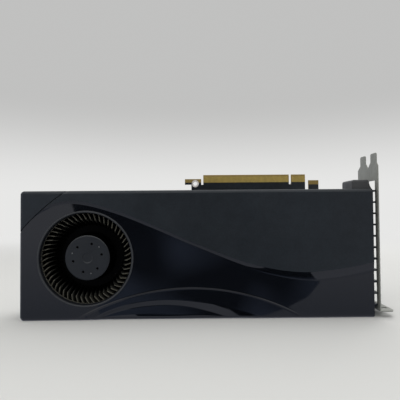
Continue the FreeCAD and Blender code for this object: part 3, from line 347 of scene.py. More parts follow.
# ---- materials
class Nodes:
    """Adds nodes to a tree; each is made, set and linked in one call."""

    def __init__(self, tree):
        self.tree = tree
        self.places = self.node("ShaderNodeTexCoord").outputs
        self.place = self.places["Object"]

    def node(self, kind, *values, **settings):
        """A node; values feed its first inputs, and a setting is its attribute or an input."""
        made = self.tree.nodes.new(kind)
        for key, value in settings.items():
            if hasattr(made, key):
                setattr(made, key, value)
            else:
                self.feed(made.inputs[key], value)
        for socket, value in zip(made.inputs, values):
            self.feed(socket, value)
        return made

    def feed(self, socket, value):
        """Links an output to a socket, or sets its value; a colour needs no alpha."""
        if isinstance(value, bpy.types.NodeSocket):
            self.tree.links.new(value, socket)
        else:
            socket.default_value = (*value, 1) if socket.type == "RGBA" else value

    def math(self, operation, a, b=0.0, c=0.0):
        """One step of arithmetic."""
        return self.node("ShaderNodeMath", a, b, c, operation=operation).outputs[0]

    def ramp(self, value, low, high, start=0.0, end=1.0, kind="SMOOTHSTEP"):
        """A clamped ramp of a value."""
        made = self.node("ShaderNodeMapRange", value, low, high, start, end, interpolation_type=kind)
        return made.outputs[0]

    def mix(self, share, a, b, blend="MIX"):
        """A mix of two colours."""
        made = self.node("ShaderNodeMix", data_type="RGBA", blend_type=blend)
        for index, value in ((0, share), (6, a), (7, b)):
            self.feed(made.inputs[index], value)
        return made.outputs[2]

    def axis(self, name, vector=None):
        """One part of a vector, or else of the place in metres."""
        return self.node("ShaderNodeSeparateXYZ", vector or self.place).outputs[name]

    def depth(self, start, stop, *ends):
        """A ramp from the depth start to the depth stop, in millimetres."""
        return self.ramp(self.axis("Y"), place(0, start, 0).y, place(0, stop, 0).y, *ends)

    def normal(self):
        """The surface's direction."""
        return self.node("ShaderNodeNewGeometry").outputs["Normal"]

    def noise(self, scale, detail=2.0, stretch=(1, 1, 1), roughness=0.55):
        """Noise of features about 1/scale millimetres across."""
        spread = self.node("ShaderNodeMapping", Vector=self.place, Scale=[1000 * scale * s for s in stretch])
        settings = {"Vector": spread.outputs[0], "Scale": 1.0, "Detail": detail, "Roughness": roughness}
        return self.node("ShaderNodeTexNoise", **settings).outputs["Fac"]


class Look(Nodes):
    """A procedural material round one Principled shader, in object coordinates."""

    def __init__(self, name, color, rough, metal=0.0, shine=0.5):
        self.material = bpy.data.materials.new(name)
        self.material.use_nodes = True
        super().__init__(self.material.node_tree)
        self.shader = self.tree.nodes["Principled BSDF"]
        self.tint, self.rough = color, rough
        self.put("Roughness", rough)
        self.put("Metallic", metal)
        self.put("Specular IOR Level", shine)

    def put(self, name, value):
        """Sets or links one of the shader's inputs."""
        self.feed(self.shader.inputs[name], value)

    def paint(self, share, color):
        """Paints a colour over the look where share is 1."""
        self.tint = self.mix(share, self.tint, color)
        return self

    def vary(self, scale, amount):
        """Colour variation between darker and lighter."""
        share = self.ramp(self.noise(scale, 3.0), 0.35, 0.65)
        lift = self.mix(share, [1 - amount] * 3, [1 + amount] * 3)
        self.tint = self.mix(1.0, self.tint, lift, "MULTIPLY")
        return self

    def edges(self, color, radius=0.25, amount=1.0):
        """Lighter wear along the edges."""
        rounded = self.node("ShaderNodeBevel", samples=4, Radius=radius * MM).outputs[0]
        match = self.node("ShaderNodeVectorMath", rounded, self.normal(), operation="DOT_PRODUCT")
        share = self.ramp(match.outputs["Value"], 0.995, 0.85, 0.0, amount)
        patches = self.ramp(self.noise(0.6, 3.0), 0.3, 0.6, 0.35, 1.0)
        return self.paint(self.math("MULTIPLY", share, patches), color)

    def rub(self, scale, amount, stretch=(1, 1, 1)):
        """Roughness variation."""
        low, high = self.rough - amount, self.rough + amount
        self.put("Roughness", self.ramp(self.noise(scale, 3.0, stretch), 0.3, 0.7, low, high))
        return self

    def grain(self, scale, depth, stretch=(1, 1, 1), detail=2.0):
        """A fine relief, its depth in millimetres."""
        relief = self.noise(scale, detail, stretch)
        bump = self.node("ShaderNodeBump", Height=relief, Distance=depth * MM, Strength=1.0)
        self.put("Normal", bump.outputs[0])
        return self

    def lighter_facing_up(self, amount, color=(0.05, 0.054, 0.058)):
        """Paints a lighter colour, up to an amount, on whatever faces up."""
        return self.paint(self.ramp(self.axis("Z", self.normal()), 0.15, 0.9, 0.0, amount), color)

    def done(self):
        """The finished material."""
        self.put("Base Color", self.tint)
        return self.material


def matte_plastic(name, color, rough=0.5, grain=0.02):
    """Moulded plastic with a fine spark-eroded grain."""
    look = Look(name, color, rough, shine=0.4)
    return look.vary(0.02, 0.10).rub(0.08, 0.05).grain(2.2, grain).done()


def metal(name, color, rough, stretch=(1, 1, 1), worn=None, grain=0.004, share=1.0):
    """Metal with drawn or rolled streaks and worn edges; a dull plating is metal only in part."""
    look = Look(name, color, rough, share)
    look.vary(0.05, 0.07).vary(0.5, 0.05)
    if worn:
        look.edges(worn)
    return look.rub(1.2, 0.07, stretch).grain(1.92, grain, stretch).done()


def gloss_shroud():
    """Piano-black plastic with faint dust, wipe marks and a trace of orange peel."""
    look = Look("gloss_black", (0.0030, 0.0036, 0.0052), 0.035, shine=0.55)
    dust = look.ramp(look.noise(1.6, 4.0, roughness=0.7), 0.66, 0.74)
    look.paint(look.math("MULTIPLY", dust, 0.25), (0.05, 0.052, 0.055))
    wipes = look.noise(0.05, 4.0, (1, 1, 2.5))
    rough = look.ramp(wipes, 0.35, 0.7, 0.02, 0.05)
    look.put("Roughness", look.math("ADD", rough, look.math("MULTIPLY", dust, 0.15)))
    return look.grain(0.12, 0.004).done()


def matte_shroud():
    """The satin field: fine texture and slight sheen differences."""
    look = Look("satin_black", (0.0089, 0.0121, 0.0157), 0.5, shine=0.32)
    look.vary(0.012, 0.12).vary(0.9, 0.12).vary(0.15, 0.08)
    look.edges((0.05, 0.053, 0.058), 0.3, 0.5)
    # Lighter on the faces that look up.
    look.lighter_facing_up(0.45)
    return look.rub(0.05, 0.05).grain(2.6, 0.018, detail=3.0).done()


def board_look():
    """Black solder mask over a glass-fibre core; the core shows at edges and round the contacts."""
    look = Look("solder_mask", (0.012, 0.015, 0.018), 0.32)
    look.vary(0.03, 0.25).vary(0.4, 0.15)
    ends = place(TAB_U, 0, 0).x, place(TAB_U + 1, 0, 0).x
    tab = look.ramp(look.axis("X"), *ends, CONTACT_TOP * MM, TAB_TOP * MM)
    bare = look.math("GREATER_THAN", look.axis("Z"), tab)
    side = look.math("LESS_THAN", look.math("ABSOLUTE", look.axis("Y", look.normal())), 0.5)
    open_core = look.math("MAXIMUM", bare, side)
    weave = look.ramp(look.noise(1.2, 2.0, (1, 1, 0.2)), 0.3, 0.7)
    look.paint(open_core, look.mix(weave, (0.225, 0.155, 0.04), (0.26, 0.18, 0.05)))
    look.put("Roughness", look.ramp(open_core, 0.0, 1.0, 0.3, 0.6))
    return look.grain(0.9, 0.006).done()


def fan_look():
    """Satin dark olive-grey moulding of the impeller, with a painted highlight along the blades' front edges
    and painted shade, near black with weaker reflections, deeper in.
    """
    look = Look("fan_plastic", (0.030, 0.030, 0.026), 0.36)
    look.vary(0.08, 0.12)
    # Painted shade: deeper in the wheel the colour fades to near black.
    look.paint(look.depth(BLADE_FRONT + 2.5, BLADE_FRONT + 11), (0.002, 0.002, 0.002))
    # Painted highlight: the blades' front edges are painted a paler warm colour.
    look.paint(look.depth(BLADE_FRONT + 0.7, BLADE_FRONT + 0.2), (0.07, 0.066, 0.05))
    # Painted shade: the reflections weaken deeper in the wheel.
    look.put("Specular IOR Level", look.depth(BLADE_FRONT + 3, BLADE_FRONT + 12, 0.5, 0.03))
    return look.rub(0.15, 0.06).grain(1.6, 0.006).done()


def lip_look():
    """The rolled lip, painted paler than the shroud's black on its crest as a painted highlight, and near
    black where it turns into the intake as painted shade.
    """
    look = Look("lip_black", (0.026, 0.028, 0.031), 0.4, shine=0.4)
    # Painted shade: darker from 0.15 mm deep and near black past 0.6 mm, where the lip turns into the intake.
    look.vary(0.06, 0.10).paint(look.depth(0.15, 0.6), (0.006, 0.007, 0.009))
    return look.rub(0.1, 0.05).grain(2.2, 0.01).done()


def hub_look():
    """The hub's face, a little smoother and bluer than the blades, with a painted highlight where it faces up
    and painted shade, near black with weaker reflections, deep in its pockets and behind its rim.
    """
    look = Look("hub_plastic", (0.0125, 0.0145, 0.0175), 0.42, shine=0.32)
    # Painted highlight: the faces that look up are painted lighter.
    look.vary(0.06, 0.08).lighter_facing_up(0.7, (0.12, 0.125, 0.13))
    # Painted shade: what lies deeper than the face, in the pockets and behind the rim, goes near black and
    # reflects less.
    deep = look.depth(HUB_FACE + 0.5, HUB_FACE + 0.75)
    look.paint(deep, (0.001, 0.001, 0.001))
    look.put("Specular IOR Level", look.math("MULTIPLY_ADD", deep, -0.28, 0.32))
    return look.rub(0.1, 0.05).grain(2.4, 0.008).done()


def anodised():
    """The tray's black anodised metal."""
    look = Look("black_anodised", (0.02, 0.0205, 0.022), 0.45, 0.6)
    return look.vary(0.05, 0.12).edges((0.12, 0.12, 0.13)).rub(0.4, 0.08).grain(1.4, 0.01).done()


def packages(name, color, rough, top=None):
    """Moulded chip packages, with a fine granular face."""
    look = Look(name, color, rough, shine=0.45)
    look.vary(0.2, 0.2).vary(2.5, 0.15)
    if top:
        look.paint(look.ramp(look.noise(0.9, 3.0), 0.45, 0.7, 0.0, 0.5), top)
    return look.rub(0.6, 0.08).grain(3.0, 0.01).done()


GLOSS, SATIN = gloss_shroud(), matte_shroud()
# The hump's black plastic painted lighter than the rest of the shroud: painted light for the light its top
# catches.
HUMP_PAINTED_LIGHT = matte_plastic("hump_black_painted_light", (0.040, 0.041, 0.042))
FAN, HUB, LIP = fan_look(), hub_look(), lip_look()
PIP = packages("gate_mark", (0.10, 0.105, 0.11), 0.25)
MASK = board_look()
STEEL = metal("zinc_plate", (0.27, 0.275, 0.245), 0.5, (1, 1, 0.2), (0.13, 0.125, 0.11), 0.006, 0.45)
PORT = metal("nickel_plate", (0.55, 0.54, 0.52), 0.3, (0.15, 1, 1), (0.75, 0.74, 0.72), 0.002)
SCREW = metal("nickel_screw", (0.36, 0.36, 0.37), 0.32, worn=(0.6, 0.6, 0.6))
BLACK_SCREW = metal("black_oxide", (0.03, 0.03, 0.032), 0.4, worn=(0.2, 0.2, 0.2))
MOTOR = metal("motor_steel", (0.34, 0.35, 0.36), 0.38, (1, 0.1, 1))
SPRING = metal("spring_steel", (0.42, 0.42, 0.41), 0.36, (0.12, 1, 1), (0.62, 0.62, 0.6), 0.005)
SHINY = metal("ground_steel", (0.6, 0.6, 0.61), 0.18, (1, 0.1, 1), grain=0.001)
BRONZE = metal("sintered_bronze", (0.45, 0.29, 0.15), 0.5, grain=0.01)
COPPER = metal("milled_copper", (0.68, 0.33, 0.2), 0.34, (0.1, 1, 1), grain=0.006)
ALUMINIUM = metal("fin_sheet", (0.60, 0.61, 0.62), 0.34, (0.1, 1, 1), grain=0.003)
GOLD = metal("gold_plate", (0.62, 0.46, 0.13), 0.46, (1, 1, 0.15), grain=0.002, share=0.8)
TIN = metal("solder_tin", (0.60, 0.60, 0.60), 0.34, grain=0.01)
RING = packages("tinned_ring", (0.62, 0.58, 0.56), 0.5, (0.72, 0.69, 0.67))
STIFFENER = metal("stamped_frame", (0.48, 0.47, 0.45), 0.4, (1, 1, 0.2))
CAN = metal("can_aluminium", (0.66, 0.66, 0.67), 0.22, (0.2, 1, 1), grain=0.001)
ANODISED = anodised()
EPOXY = packages("chip_epoxy", (0.016, 0.0165, 0.018), 0.55, (0.03, 0.03, 0.032))
CERAMIC = packages("ceramic", (0.20, 0.125, 0.065), 0.45, (0.30, 0.20, 0.12))
RESISTOR = packages("resistor", (0.012, 0.012, 0.014), 0.4)
FERRITE = packages("ferrite", (0.06, 0.06, 0.063), 0.55, (0.10, 0.10, 0.10))
SUBSTRATE = packages("package_green", (0.02, 0.07, 0.03), 0.4, (0.03, 0.10, 0.05))
DRIVER = packages("driver_board", (0.015, 0.09, 0.035), 0.35, (0.02, 0.13, 0.05))
SILICON = packages("silicon", (0.06, 0.065, 0.08), 0.12)
PAD = packages("thermal_pad", (0.32, 0.40, 0.48), 0.8, (0.40, 0.47, 0.53))
WIRE = packages("enamel_wire", (0.42, 0.14, 0.04), 0.3, (0.55, 0.22, 0.08))
BLACK = matte_plastic("connector_black", (0.011, 0.011, 0.012), 0.42, 0.01)
WHITE = matte_plastic("connector_white", (0.62, 0.59, 0.50), 0.45, 0.008)
SLEEVE = matte_plastic("lead_sleeve", (0.012, 0.012, 0.012), 0.6, 0.02)
INK = packages("silkscreen", (0.45, 0.46, 0.46), 0.7, (0.36, 0.37, 0.37))
TRACE = packages("covered_copper", (0.011, 0.0145, 0.0155), 0.3, (0.016, 0.02, 0.02))

# Each row: a look, the width its edges are rounded by, and the CAD nodes that stay and wear it.
NODE_LOOKS = [
    (STEEL, 0.18, "bracket"), (SCREW, 0.12, "bracket_screws board_screws"), (SCREW, 0.1, "clamp_screws"),
    (BLACK_SCREW, 0.08, "ear_screws"), (BLACK_SCREW, 0, "fan_screws"), (ANODISED, 0.2, "base_tray"),
    (MASK, 0.1, "circuit_board"), (GOLD, 0, "edge_contacts port_contacts"), (GOLD, 0.15, "power_pins"),
    (RING, 0, "hook_ring"), (PORT, 0.12, "displayport_shells hdmi_shell"), (BLACK, 0.3, "power_connector"),
    (BLACK, 0.15, "displayport_tongues hdmi_tongue"), (MOTOR, 0, "rotor_cup fan_frame stator_core"),
    (FERRITE, 0, "rotor_magnet"), (SHINY, 0, "motor_shaft"), (BRONZE, 0, "bearings"),
    (WIRE, 0, "stator_coils"), (DRIVER, 0, "motor_board"), (SPRING, 0, "shaft_clip clamp_springs"),
    (SPRING, 0.2, "clamp_plate"), (COPPER, 0, "cold_plate"), (ALUMINIUM, 0, "fins"),
    (SUBSTRATE, 0, "gpu_package"), (STIFFENER, 0, "gpu_stiffener"), (SILICON, 0, "gpu_die"),
    (EPOXY, 0.12, "memory_chips"), (EPOXY, 0.1, "power_stages controller_chips"), (PAD, 0, "thermal_pads"),
    (FERRITE, 0.25, "inductors"), (CAN, 0, "capacitor_cans"), (CERAMIC, 0, "ceramic_capacitors_front"),
    (WHITE, 0.15, "fan_header fan_plug"), (SLEEVE, 0, "fan_lead"),
]


def dress_nodes():
    """Gives each CAD node that stays its material and its rounded edges."""
    for look, width, names in NODE_LOOKS:
        for name in names.split():
            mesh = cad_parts[name].data
            mesh.materials.clear()
            mesh.materials.append(look)
            if "custom_normal" in mesh.attributes:
                mesh.attributes.remove(mesh.attributes["custom_normal"])
            if width:
                soften(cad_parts[name], width)
            else:
                shade(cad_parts[name])


# ---- shroud
def face_depth(u, z):
    """How far the shroud's face lies behind its front plane."""
    below_sweep = sweep(u) - z
    by_seam = u < SEAM[2][0] + 3
    if by_seam and z > seam(u):
        depth = CORNER_LEVEL
    elif below_sweep > 0:
        share = min(below_sweep / sweep_width(u), 1.0)
        level = GLOSS_LEVEL * smooth_step(u, -14.0, 34.0)
        depth = level * (1 - (1 - share) ** SWEEP_POWER)
    else:
        depth = 0.0
    if by_seam:
        reach = abs(z - seam(u)) * SEAM_SLANT
        depth += GROOVE_DEPTH * (1 - smooth_step(reach, 0.4 * GROOVE_HALF, GROOVE_HALF))
    arch = upper_arch(u)
    fade = smooth_step(arch, 0.0, 6.0)
    inside = arch - z
    bead = exp(-((inside / BEAD_WIDTH) ** 2))
    depth += fade * (ARCH_STEP * smooth_step(inside, 0.0, 0.9) - BEAD_RISE * bead)
    top, bottom = band_high(u), min(band_low(u), band_high(u) - 1.5)
    fade = smooth_step(top, 1.0, 6.0)
    share = (top - z) / (top - bottom)
    depth += fade * BAND_DEPTH * (0.75 * min(max(share, 0.0), 1.0) + 0.25 * smooth_step(share))
    return depth


def edge_depth(u, z):
    """The rounding of the face's outer edge, from the distance to the outline."""
    near_z = min(z, SHROUD_HEIGHT - z)
    if u < CORNER_RADIUS and near_z < CORNER_RADIUS:
        inside = CORNER_RADIUS - hypot(CORNER_RADIUS - u, CORNER_RADIUS - near_z)
    else:
        inside = min(u, near_z)
    if inside >= EDGE_ROUND:
        return 0.0
    share = 1 - max(inside, 0.0) / EDGE_ROUND
    return EDGE_ROUND * (1 - (1 - share**EDGE_POWER) ** (1 / EDGE_POWER))


def into_corner(u, z):
    """Moves a point of a tail corner's square into the quarter disc that fills it."""
    flip = z > SHROUD_HEIGHT / 2
    near_z = SHROUD_HEIGHT - z if flip else z
    if u >= CORNER_RADIUS or near_z >= CORNER_RADIUS:
        return u, z
    s, t = 1 - u / CORNER_RADIUS, 1 - near_z / CORNER_RADIUS
    near_u = CORNER_RADIUS * (1 - s * sqrt(1 - t * t / 2))
    near_z = CORNER_RADIUS * (1 - t * sqrt(1 - s * s / 2))
    return near_u, SHROUD_HEIGHT - near_z if flip else near_z


RIM_STEPS = (0.0, 0.1, 0.35, 0.75, 1.3, EDGE_ROUND)


def row_heights(u):
    """The heights of one grid column's points; rows follow the curves on the face."""
    wide = sweep_width(u)
    seam_z = seam(u)
    sweep_z = min(sweep(u), seam_z - 1.3)
    slope = [sweep_z - wide * k for k in (1.12, 1, 0.92, 0.8, 0.6, 0.4, 0.2)]
    guides = [
        (list(RIM_STEPS), 2),
        ([band_low(u) + k for k in (-0.6, 0.0, 0.6)], 2),
        ([band_high(u) + k for k in (-0.6, -0.2, 0.2, 0.6)], 3),
        ([upper_arch(u) + k for k in (-1.6, -1.0, -0.65, -0.4, -0.2, 0, 0.2, 0.4, 0.65, 1.0, 1.6)], 14),
        (slope + [sweep_z + k for k in (-0.06, 0.0, 0.06)], 12),
        ([seam_z + k for k in (-1.2, -0.62, -0.44, -0.25, -0.08, 0.08, 0.25, 0.44, 0.62, 1.2)], 4),
        ([SHROUD_HEIGHT - k for k in reversed(RIM_STEPS)], 0),
    ]
    heights = []
    for index, (rows, fillers) in enumerate(guides):
        heights += rows
        if index + 1 < len(guides):
            start, end = rows[-1], guides[index + 1][0][0]
            heights += [start + (end - start) * (k + 1) / (fillers + 1) for k in range(fillers)]
    gap = 0.01
    low_fixed, high_fixed = len(RIM_STEPS), len(heights) - len(RIM_STEPS)
    for i in range(low_fixed, high_fixed):
        heights[i] = max(heights[i], heights[i - 1] + gap)
    for i in range(high_fixed - 1, low_fixed - 1, -1):
        heights[i] = min(heights[i], heights[i + 1] - gap)
    return heights


def shroud_solid():
    """The shroud's outer form as one closed mesh; mark 0 is satin and mark 1 gloss."""
    columns = list(RIM_STEPS) + [2.6, CORNER_RADIUS]
    count = 230
    columns += [CORNER_RADIUS + (SHROUD_LENGTH - CORNER_RADIUS) * (k + 1) / count for k in range(count)]
    grid = [[into_corner(u, z) for z in row_heights(u)] for u in columns]
    tall = len(grid[0])
    points = [(u, face_depth(u, z) + edge_depth(u, z), z) for column in grid for u, z in column]
    faces, marks = [], []
    for i in range(len(columns) - 1):
        for j in range(tall - 1):
            face = (i * tall + j, (i + 1) * tall + j, (i + 1) * tall + j + 1, i * tall + j + 1)
            u, _, z = (sum(points[k][axis] for k in face) / 4 for axis in range(3))
            faces.append(face)
            marks.append(int(z < min(sweep(u), seam(u))))
    last = (len(columns) - 1) * tall
    border = [*range(0, last + 1, tall), *range(last + 1, last + tall)]
    border += [*range(last - 1, 0, -tall), *range(tall - 2, 0, -1)]
    base, around = len(points), len(border)
    points += [(points[k][0], SHROUD_BACK, points[k][2]) for k in border]
    for i in range(around):
        j = (i + 1) % around
        faces.append((border[i], border[j], base + j, base + i))
    faces.append(tuple(range(base, base + around)))
    shape = Shape().add(points, faces)
    shape.marks[:len(marks)] = marks
    return shape.make("shroud_shell")


def cutter_box(us, ds, zs):
    """A box used only to cut."""
    return Shape().box(us, ds, zs).make("cutter")


def cutter_rod(u, z, ds, radius, steps):
    """A cylinder along the depth, used only to cut."""
    return Shape().prism(circle(radius, steps, u, z), *ds).make("cutter")


def cutter_peg(u, d, zs, radius):
    """An upright cylinder, used only to cut."""
    rings = [[(a, b, z) for a, b in circle(radius, 32, u, d)] for z in zs]
    return Shape().loft(rings).make("cutter")


def hump_inside(foot):
    """The hump's hollow, from a height up to its roof, used only to cut."""
    start, near, top, wall = HUMP["start"], HUMP["near"], HUMP["top"], HUMP["wall"]
    return cutter_box((start + wall, PAST_END), (near + wall, PAST_BACK), (foot, top - wall))


def make_shroud():
    """The moulded cover with its hollow, intake, socket opening and the way into the hump."""
    shell = shroud_solid()
    hollow = cutter_box((WALL, PAST_END), (INNER_FACE, PAST_BACK), (WALL, SHROUD_HEIGHT - WALL))
    power_zs = (POWER_Z - POWER_HALF, POWER_Z + POWER_HALF)
    socket = cutter_box((-5, WALL + 2), (POWER_FRONT, PAST_BACK), power_zs)
    way = hump_inside(90)
    intake = cutter_rod(FAN_U, FAN_Z, (-5, 12), INTAKE_RADIUS + 0.8, 160)
    cut(shell, [hollow, socket, way, intake])
    shade(shell, 36)
    shell.modifiers.new("flat", "WEIGHTED_NORMAL").keep_sharp = True
    finish_piece(shell, "card", "shroud_plastic", SATIN, GLOSS)
    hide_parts("shroud")


def make_intake_rim():
    """The raised, rolled lip round the intake."""
    rolled = [
        (36.2, 1.2), (36.1, 0.62), (35.9, 0.28), (35.6, 0.1), (35.25, 0.07), (34.9, 0.2), (34.6, 0.55),
        (34.35, 1.1), (34.15, 1.8),
    ]
    inner = [(INTAKE_RADIUS, 2.6), (INTAKE_RADIUS, 4.6), (34.9, 4.6), (36.2, 2.4)]
    lip = Shape().turned(rolled + inner, FAN_U, FAN_Z, 192)
    lip.piece("intake_lip", "shroud_plastic", LIP, smooth=50)


def make_hump():
    """The hollow bulge beside the edge connector, in the shroud's black plastic painted lighter for the light
    it catches.
    """
    start, foot = HUMP["start"], SHROUD_HEIGHT - WALL - HUMP_ROUND
    outline = [(start, foot), (start, HUMP["top"]), *HUMP_END, (HUMP_END[-1][0], foot)]
    body = Shape().prism(outline, HUMP["near"], SHROUD_BACK).make("shroud_hump")
    soften(body, HUMP_ROUND, 6)
    cut(body, [hump_inside(80)])
    shade(body, 40)
    finish_piece(body, "card", "shroud_plastic", HUMP_PAINTED_LIGHT)


def make_shroud_trim():
    """The exhaust ribs, the screw ears and the walls beside the display sockets."""
    ribs = Shape()
    for z in RIB_PLACES:
        ribs.box((RIB_START, BRACKET_U - 0.3), (2.2, 10.0), (z - 0.6, z + 0.6))
    ribs.piece("exhaust_ribs", "shroud_plastic", SATIN, rounding=0.25)
    sides = Shape()
    start = SHROUD_BACK - 0.1
    for zs in ((0.0, 1.0), (SHROUD_HEIGHT - 1, SHROUD_HEIGHT)):
        for u in EAR_PLACES:
            sides.box((u - 4, u + 4), (start, EAR_BACK), zs)
    for zs in ((0.0, WALL), (SHROUD_HEIGHT - WALL, SHROUD_HEIGHT)):
        sides.box((SOCKET_WALL_START, SHROUD_LENGTH), (start, BOARD_FRONT - 0.2), zs)
    made = sides.make("shroud_ears")
    below, above = -5, 120
    holes = []
    for u in EAR_PLACES:
        holes.append(cutter_peg(u, EAR_SCREW_D, (below, above), EAR_HOLE))
        for ends in ((below, EAR_SEAT_DEEP), (SHROUD_HEIGHT - EAR_SEAT_DEEP, above)):
            holes.append(cutter_peg(u, EAR_SCREW_D, ends, EAR_SEAT))
    cut(made, holes)
    soften(made, 0.3, 2)
    finish_piece(made, "card", "shroud_plastic", SATIN)


# ---- impeller
def blade_ring(depth, inner, shrink=0.0):
    """One blade's section at a depth, as (radius, angle, depth): a curved strip with rounded ends."""
    spine = curve_through([(23.0, 0.0), (29.5, 3.0), (IMPELLER_RADIUS, 8.4)])
    half = 0.42 - shrink
    ahead, behind = [], []
    for index in range(10):
        radius = inner + (IMPELLER_RADIUS - 0.1 - inner) * index / 9
        taper = half * (0.62 if index in (0, 9) else 1.0)
        for side, out in ((1, ahead), (-1, behind)):
            out.append((radius, radians(spine(radius)) + side * taper / radius, depth))
    return ahead + behind[::-1]


def make_impeller():
    """Hub, back disc, hoop and blades."""
    front, back = BACK_DISC
    levels = [(10.0, 27.9), (16.0, 26.4), (21.0, 25.0), (front + 0.2, 24.0)]
    sections = [blade_ring(BLADE_FRONT, 29.7, 0.2), blade_ring(BLADE_FRONT + 0.22, 29.4)]
    sections += [blade_ring(*level) for level in levels]
    wheel = Shape()
    for k in range(BLADE_COUNT):
        turn = 2 * pi * k / BLADE_COUNT
        wheel.loft([
            [(FAN_U + r * cos(a + turn), d, FAN_Z + r * sin(a + turn)) for r, a, d in section]
            for section in sections
        ])
    rim, edge = IMPELLER_RADIUS, IMPELLER_RADIUS - 0.2
    disc = [(16.0, front - 0.1), (HUB_RADIUS + 2.2, front), (edge, front), (rim, front + 0.2)]
    disc += [(rim, back - 0.2), (edge, back), (16.0, back)]
    hoop = [(34.1, 0.2), (34.3, 0.0), (edge, 0.0), (rim, 0.2), (rim, 1.4), (34.1, 1.4)]
    for profile in (disc, [(r, BLADE_FRONT + d) for r, d in hoop]):
        wheel.turned(profile, FAN_U, FAN_Z, 160)
    blades = wheel.piece("impeller_blades", "fan_plastic", FAN, body="fan_rotor", smooth=40)
    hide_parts("impeller")
    make_hub()


def make_hub():
    """The hub's cup with its rolled rim, its dimple and the small pockets."""
    dimple = [(0.001, 0.44), (3.3, 0.43), (3.55, 0.38), (4.0, 0.05), (4.2, 0.0), (12.0, 0.0)]
    rim = [(-1.3, 0.02), (-0.75, 0.12), (-0.3, 0.4), (-0.06, 0.85), (0.0, 1.4)]
    front, back = BACK_DISC
    skirt = [(0.4, 18.0), (0.6, 22.0), (1.2, 24.0), (2.2, front + 0.05)]
    skirt += [(2.2, back - 0.05), (-1.4, back - 0.05)]
    profile = [(r, HUB_FACE + d) for r, d in dimple]
    profile += [(HUB_RADIUS + r, HUB_FACE + d) for r, d in rim]
    profile += [(HUB_RADIUS + r, d) for r, d in skirt]
    profile += [(HUB_RADIUS - 1.4, HUB_FACE + 1.5), (0.001, HUB_FACE + 1.5)]
    hub = Shape().turned(profile, FAN_U, FAN_Z, 128).make("impeller_hub")
    pockets = [(HUB_MARKS, PIP_TURN - 30 + 60 * k, 1.1) for k in range(6)]
    pockets += [(HUB_PIPS, PIP_TURN + 120 * k, 0.3) for k in range(3)]
    rods = [cutter_rod(*round_fan(r, turn), (5, HUB_FACE + deep), 1.0, 28) for r, turn, deep in pockets]
    cut(hub, rods)
    soften(hub, 0.14, 2, 40)
    finish_piece(hub, "fan_rotor", "fan_plastic", HUB)
    pips = Shape()
    floor = HUB_FACE + 0.32
    dome = [(0.62, floor), (0.55, floor - 0.16), (0.32, floor - 0.28), (0.001, floor - 0.3)]
    for k in range(3):
        pips.turned(dome, *round_fan(HUB_PIPS, PIP_TURN + 120 * k), 20, closed=False)
    pips.piece("hub_pips", "fan_plastic", PIP, body="fan_rotor", smooth=60)


# ---- circuit board
def islands(node):
    """The (u, d, z) boxes of a CAD node's separate solids."""
    work = bmesh.new()
    work.from_mesh(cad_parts[node].data)
    bmesh.ops.remove_doubles(work, verts=work.verts, dist=1e-6)
    seen, boxes = set(), []
    for start in work.verts:
        if start in seen:
            continue
        seen.add(start)
        group, queue = [], [start]
        while queue:
            vert = queue.pop()
            group.append(vert.co.copy())
            near = {edge.other_vert(vert) for edge in vert.link_edges} - seen
            seen |= near
            queue += near
        box = []
        for axis, zero in ((0, TAIL), (1, FACE), (2, 0.0)):
            values = [(co[axis] - zero) / MM for co in group]
            box.append((min(values), max(values)))
        boxes.append(box)
    work.free()
    return boxes


def kept_clear():
    """The (u range, z range) of everything that stands on the board's back."""
    return [(us, zs) for node in BACK_PARTS for us, _, zs in islands(node)]


def add_end(shape, along_u, reach, across, ds):
    """A tinned end, its reach along the part and a little wider than it."""
    wide = (across[0] - 0.03, across[1] + 0.03)
    us, zs = (reach, wide) if along_u else (wide, reach)
    shape.box(us, ds, zs)


def make_capacitors():
    """The small ceramic parts on the back: a body between two tinned ends."""
    bodies, ends = Shape(), Shape()
    for us, ds, zs in islands("ceramic_capacitors_back"):
        along_u = us[1] - us[0] > zs[1] - zs[0]
        (low, high), across = (us, zs) if along_u else (zs, us)
        cap = 0.24 * (high - low)
        inner = (low + cap * 0.9, high - cap * 0.9)
        body_us, body_zs = (inner, zs) if along_u else (us, inner)
        bodies.box(body_us, (ds[0], ds[1] - 0.04), body_zs)
        for reach in ((low, low + cap), (high - cap, high)):
            add_end(ends, along_u, reach, across, ds)
    made = bodies.piece("back_capacitors", "capacitor_ceramic", CERAMIC, rounding=0.07)
    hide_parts("ceramic_capacitors_back")
    ends.piece("back_capacitor_ends", "tinned_metal", TIN, rounding=0.09)


def make_back_chips():
    """The leaded packages on the back of the board, with five legs a side."""
    bodies, legs = Shape(), Shape()
    for (u0, u1), (d0, d1), (z0, z1) in islands("back_chips"):
        waist, inset, pairs = (d0 + d1) / 2, 0.16, 5
        rings = []
        for d, k in ((d0 + 0.08, inset), (waist, 0.0), (d1, inset)):
            rings.append([(u0 + k, d, z0 + k), (u1 - k, d, z0 + k), (u1 - k, d, z1 - k), (u0 + k, d, z1 - k)])
        bodies.loft(rings)
        over, sole = waist + 0.06, d0 + 0.16
        for k in range(pairs):
            u = u0 + (u1 - u0) * (k + 0.5) / pairs
            for side, edge in ((-1, z0), (1, z1)):
                near, knee, toe = edge - side * 0.05, edge + side * 0.35, edge + side * 0.9
                outline = [(near, over), (knee, over), (knee + side * 0.12, sole), (toe, sole)]
                outline += [(toe, d0), (knee, d0), (knee - side * 0.1, waist - 0.1), (near, waist - 0.1)]
                legs.loft([[(u + w, d, z) for z, d in outline] for w in (-0.2, 0.2)])
    made = bodies.piece("back_packages", "chip_epoxy", EPOXY, rounding=0.08)
    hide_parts("back_chips")
    legs.piece("back_package_legs", "tinned_metal", TIN)


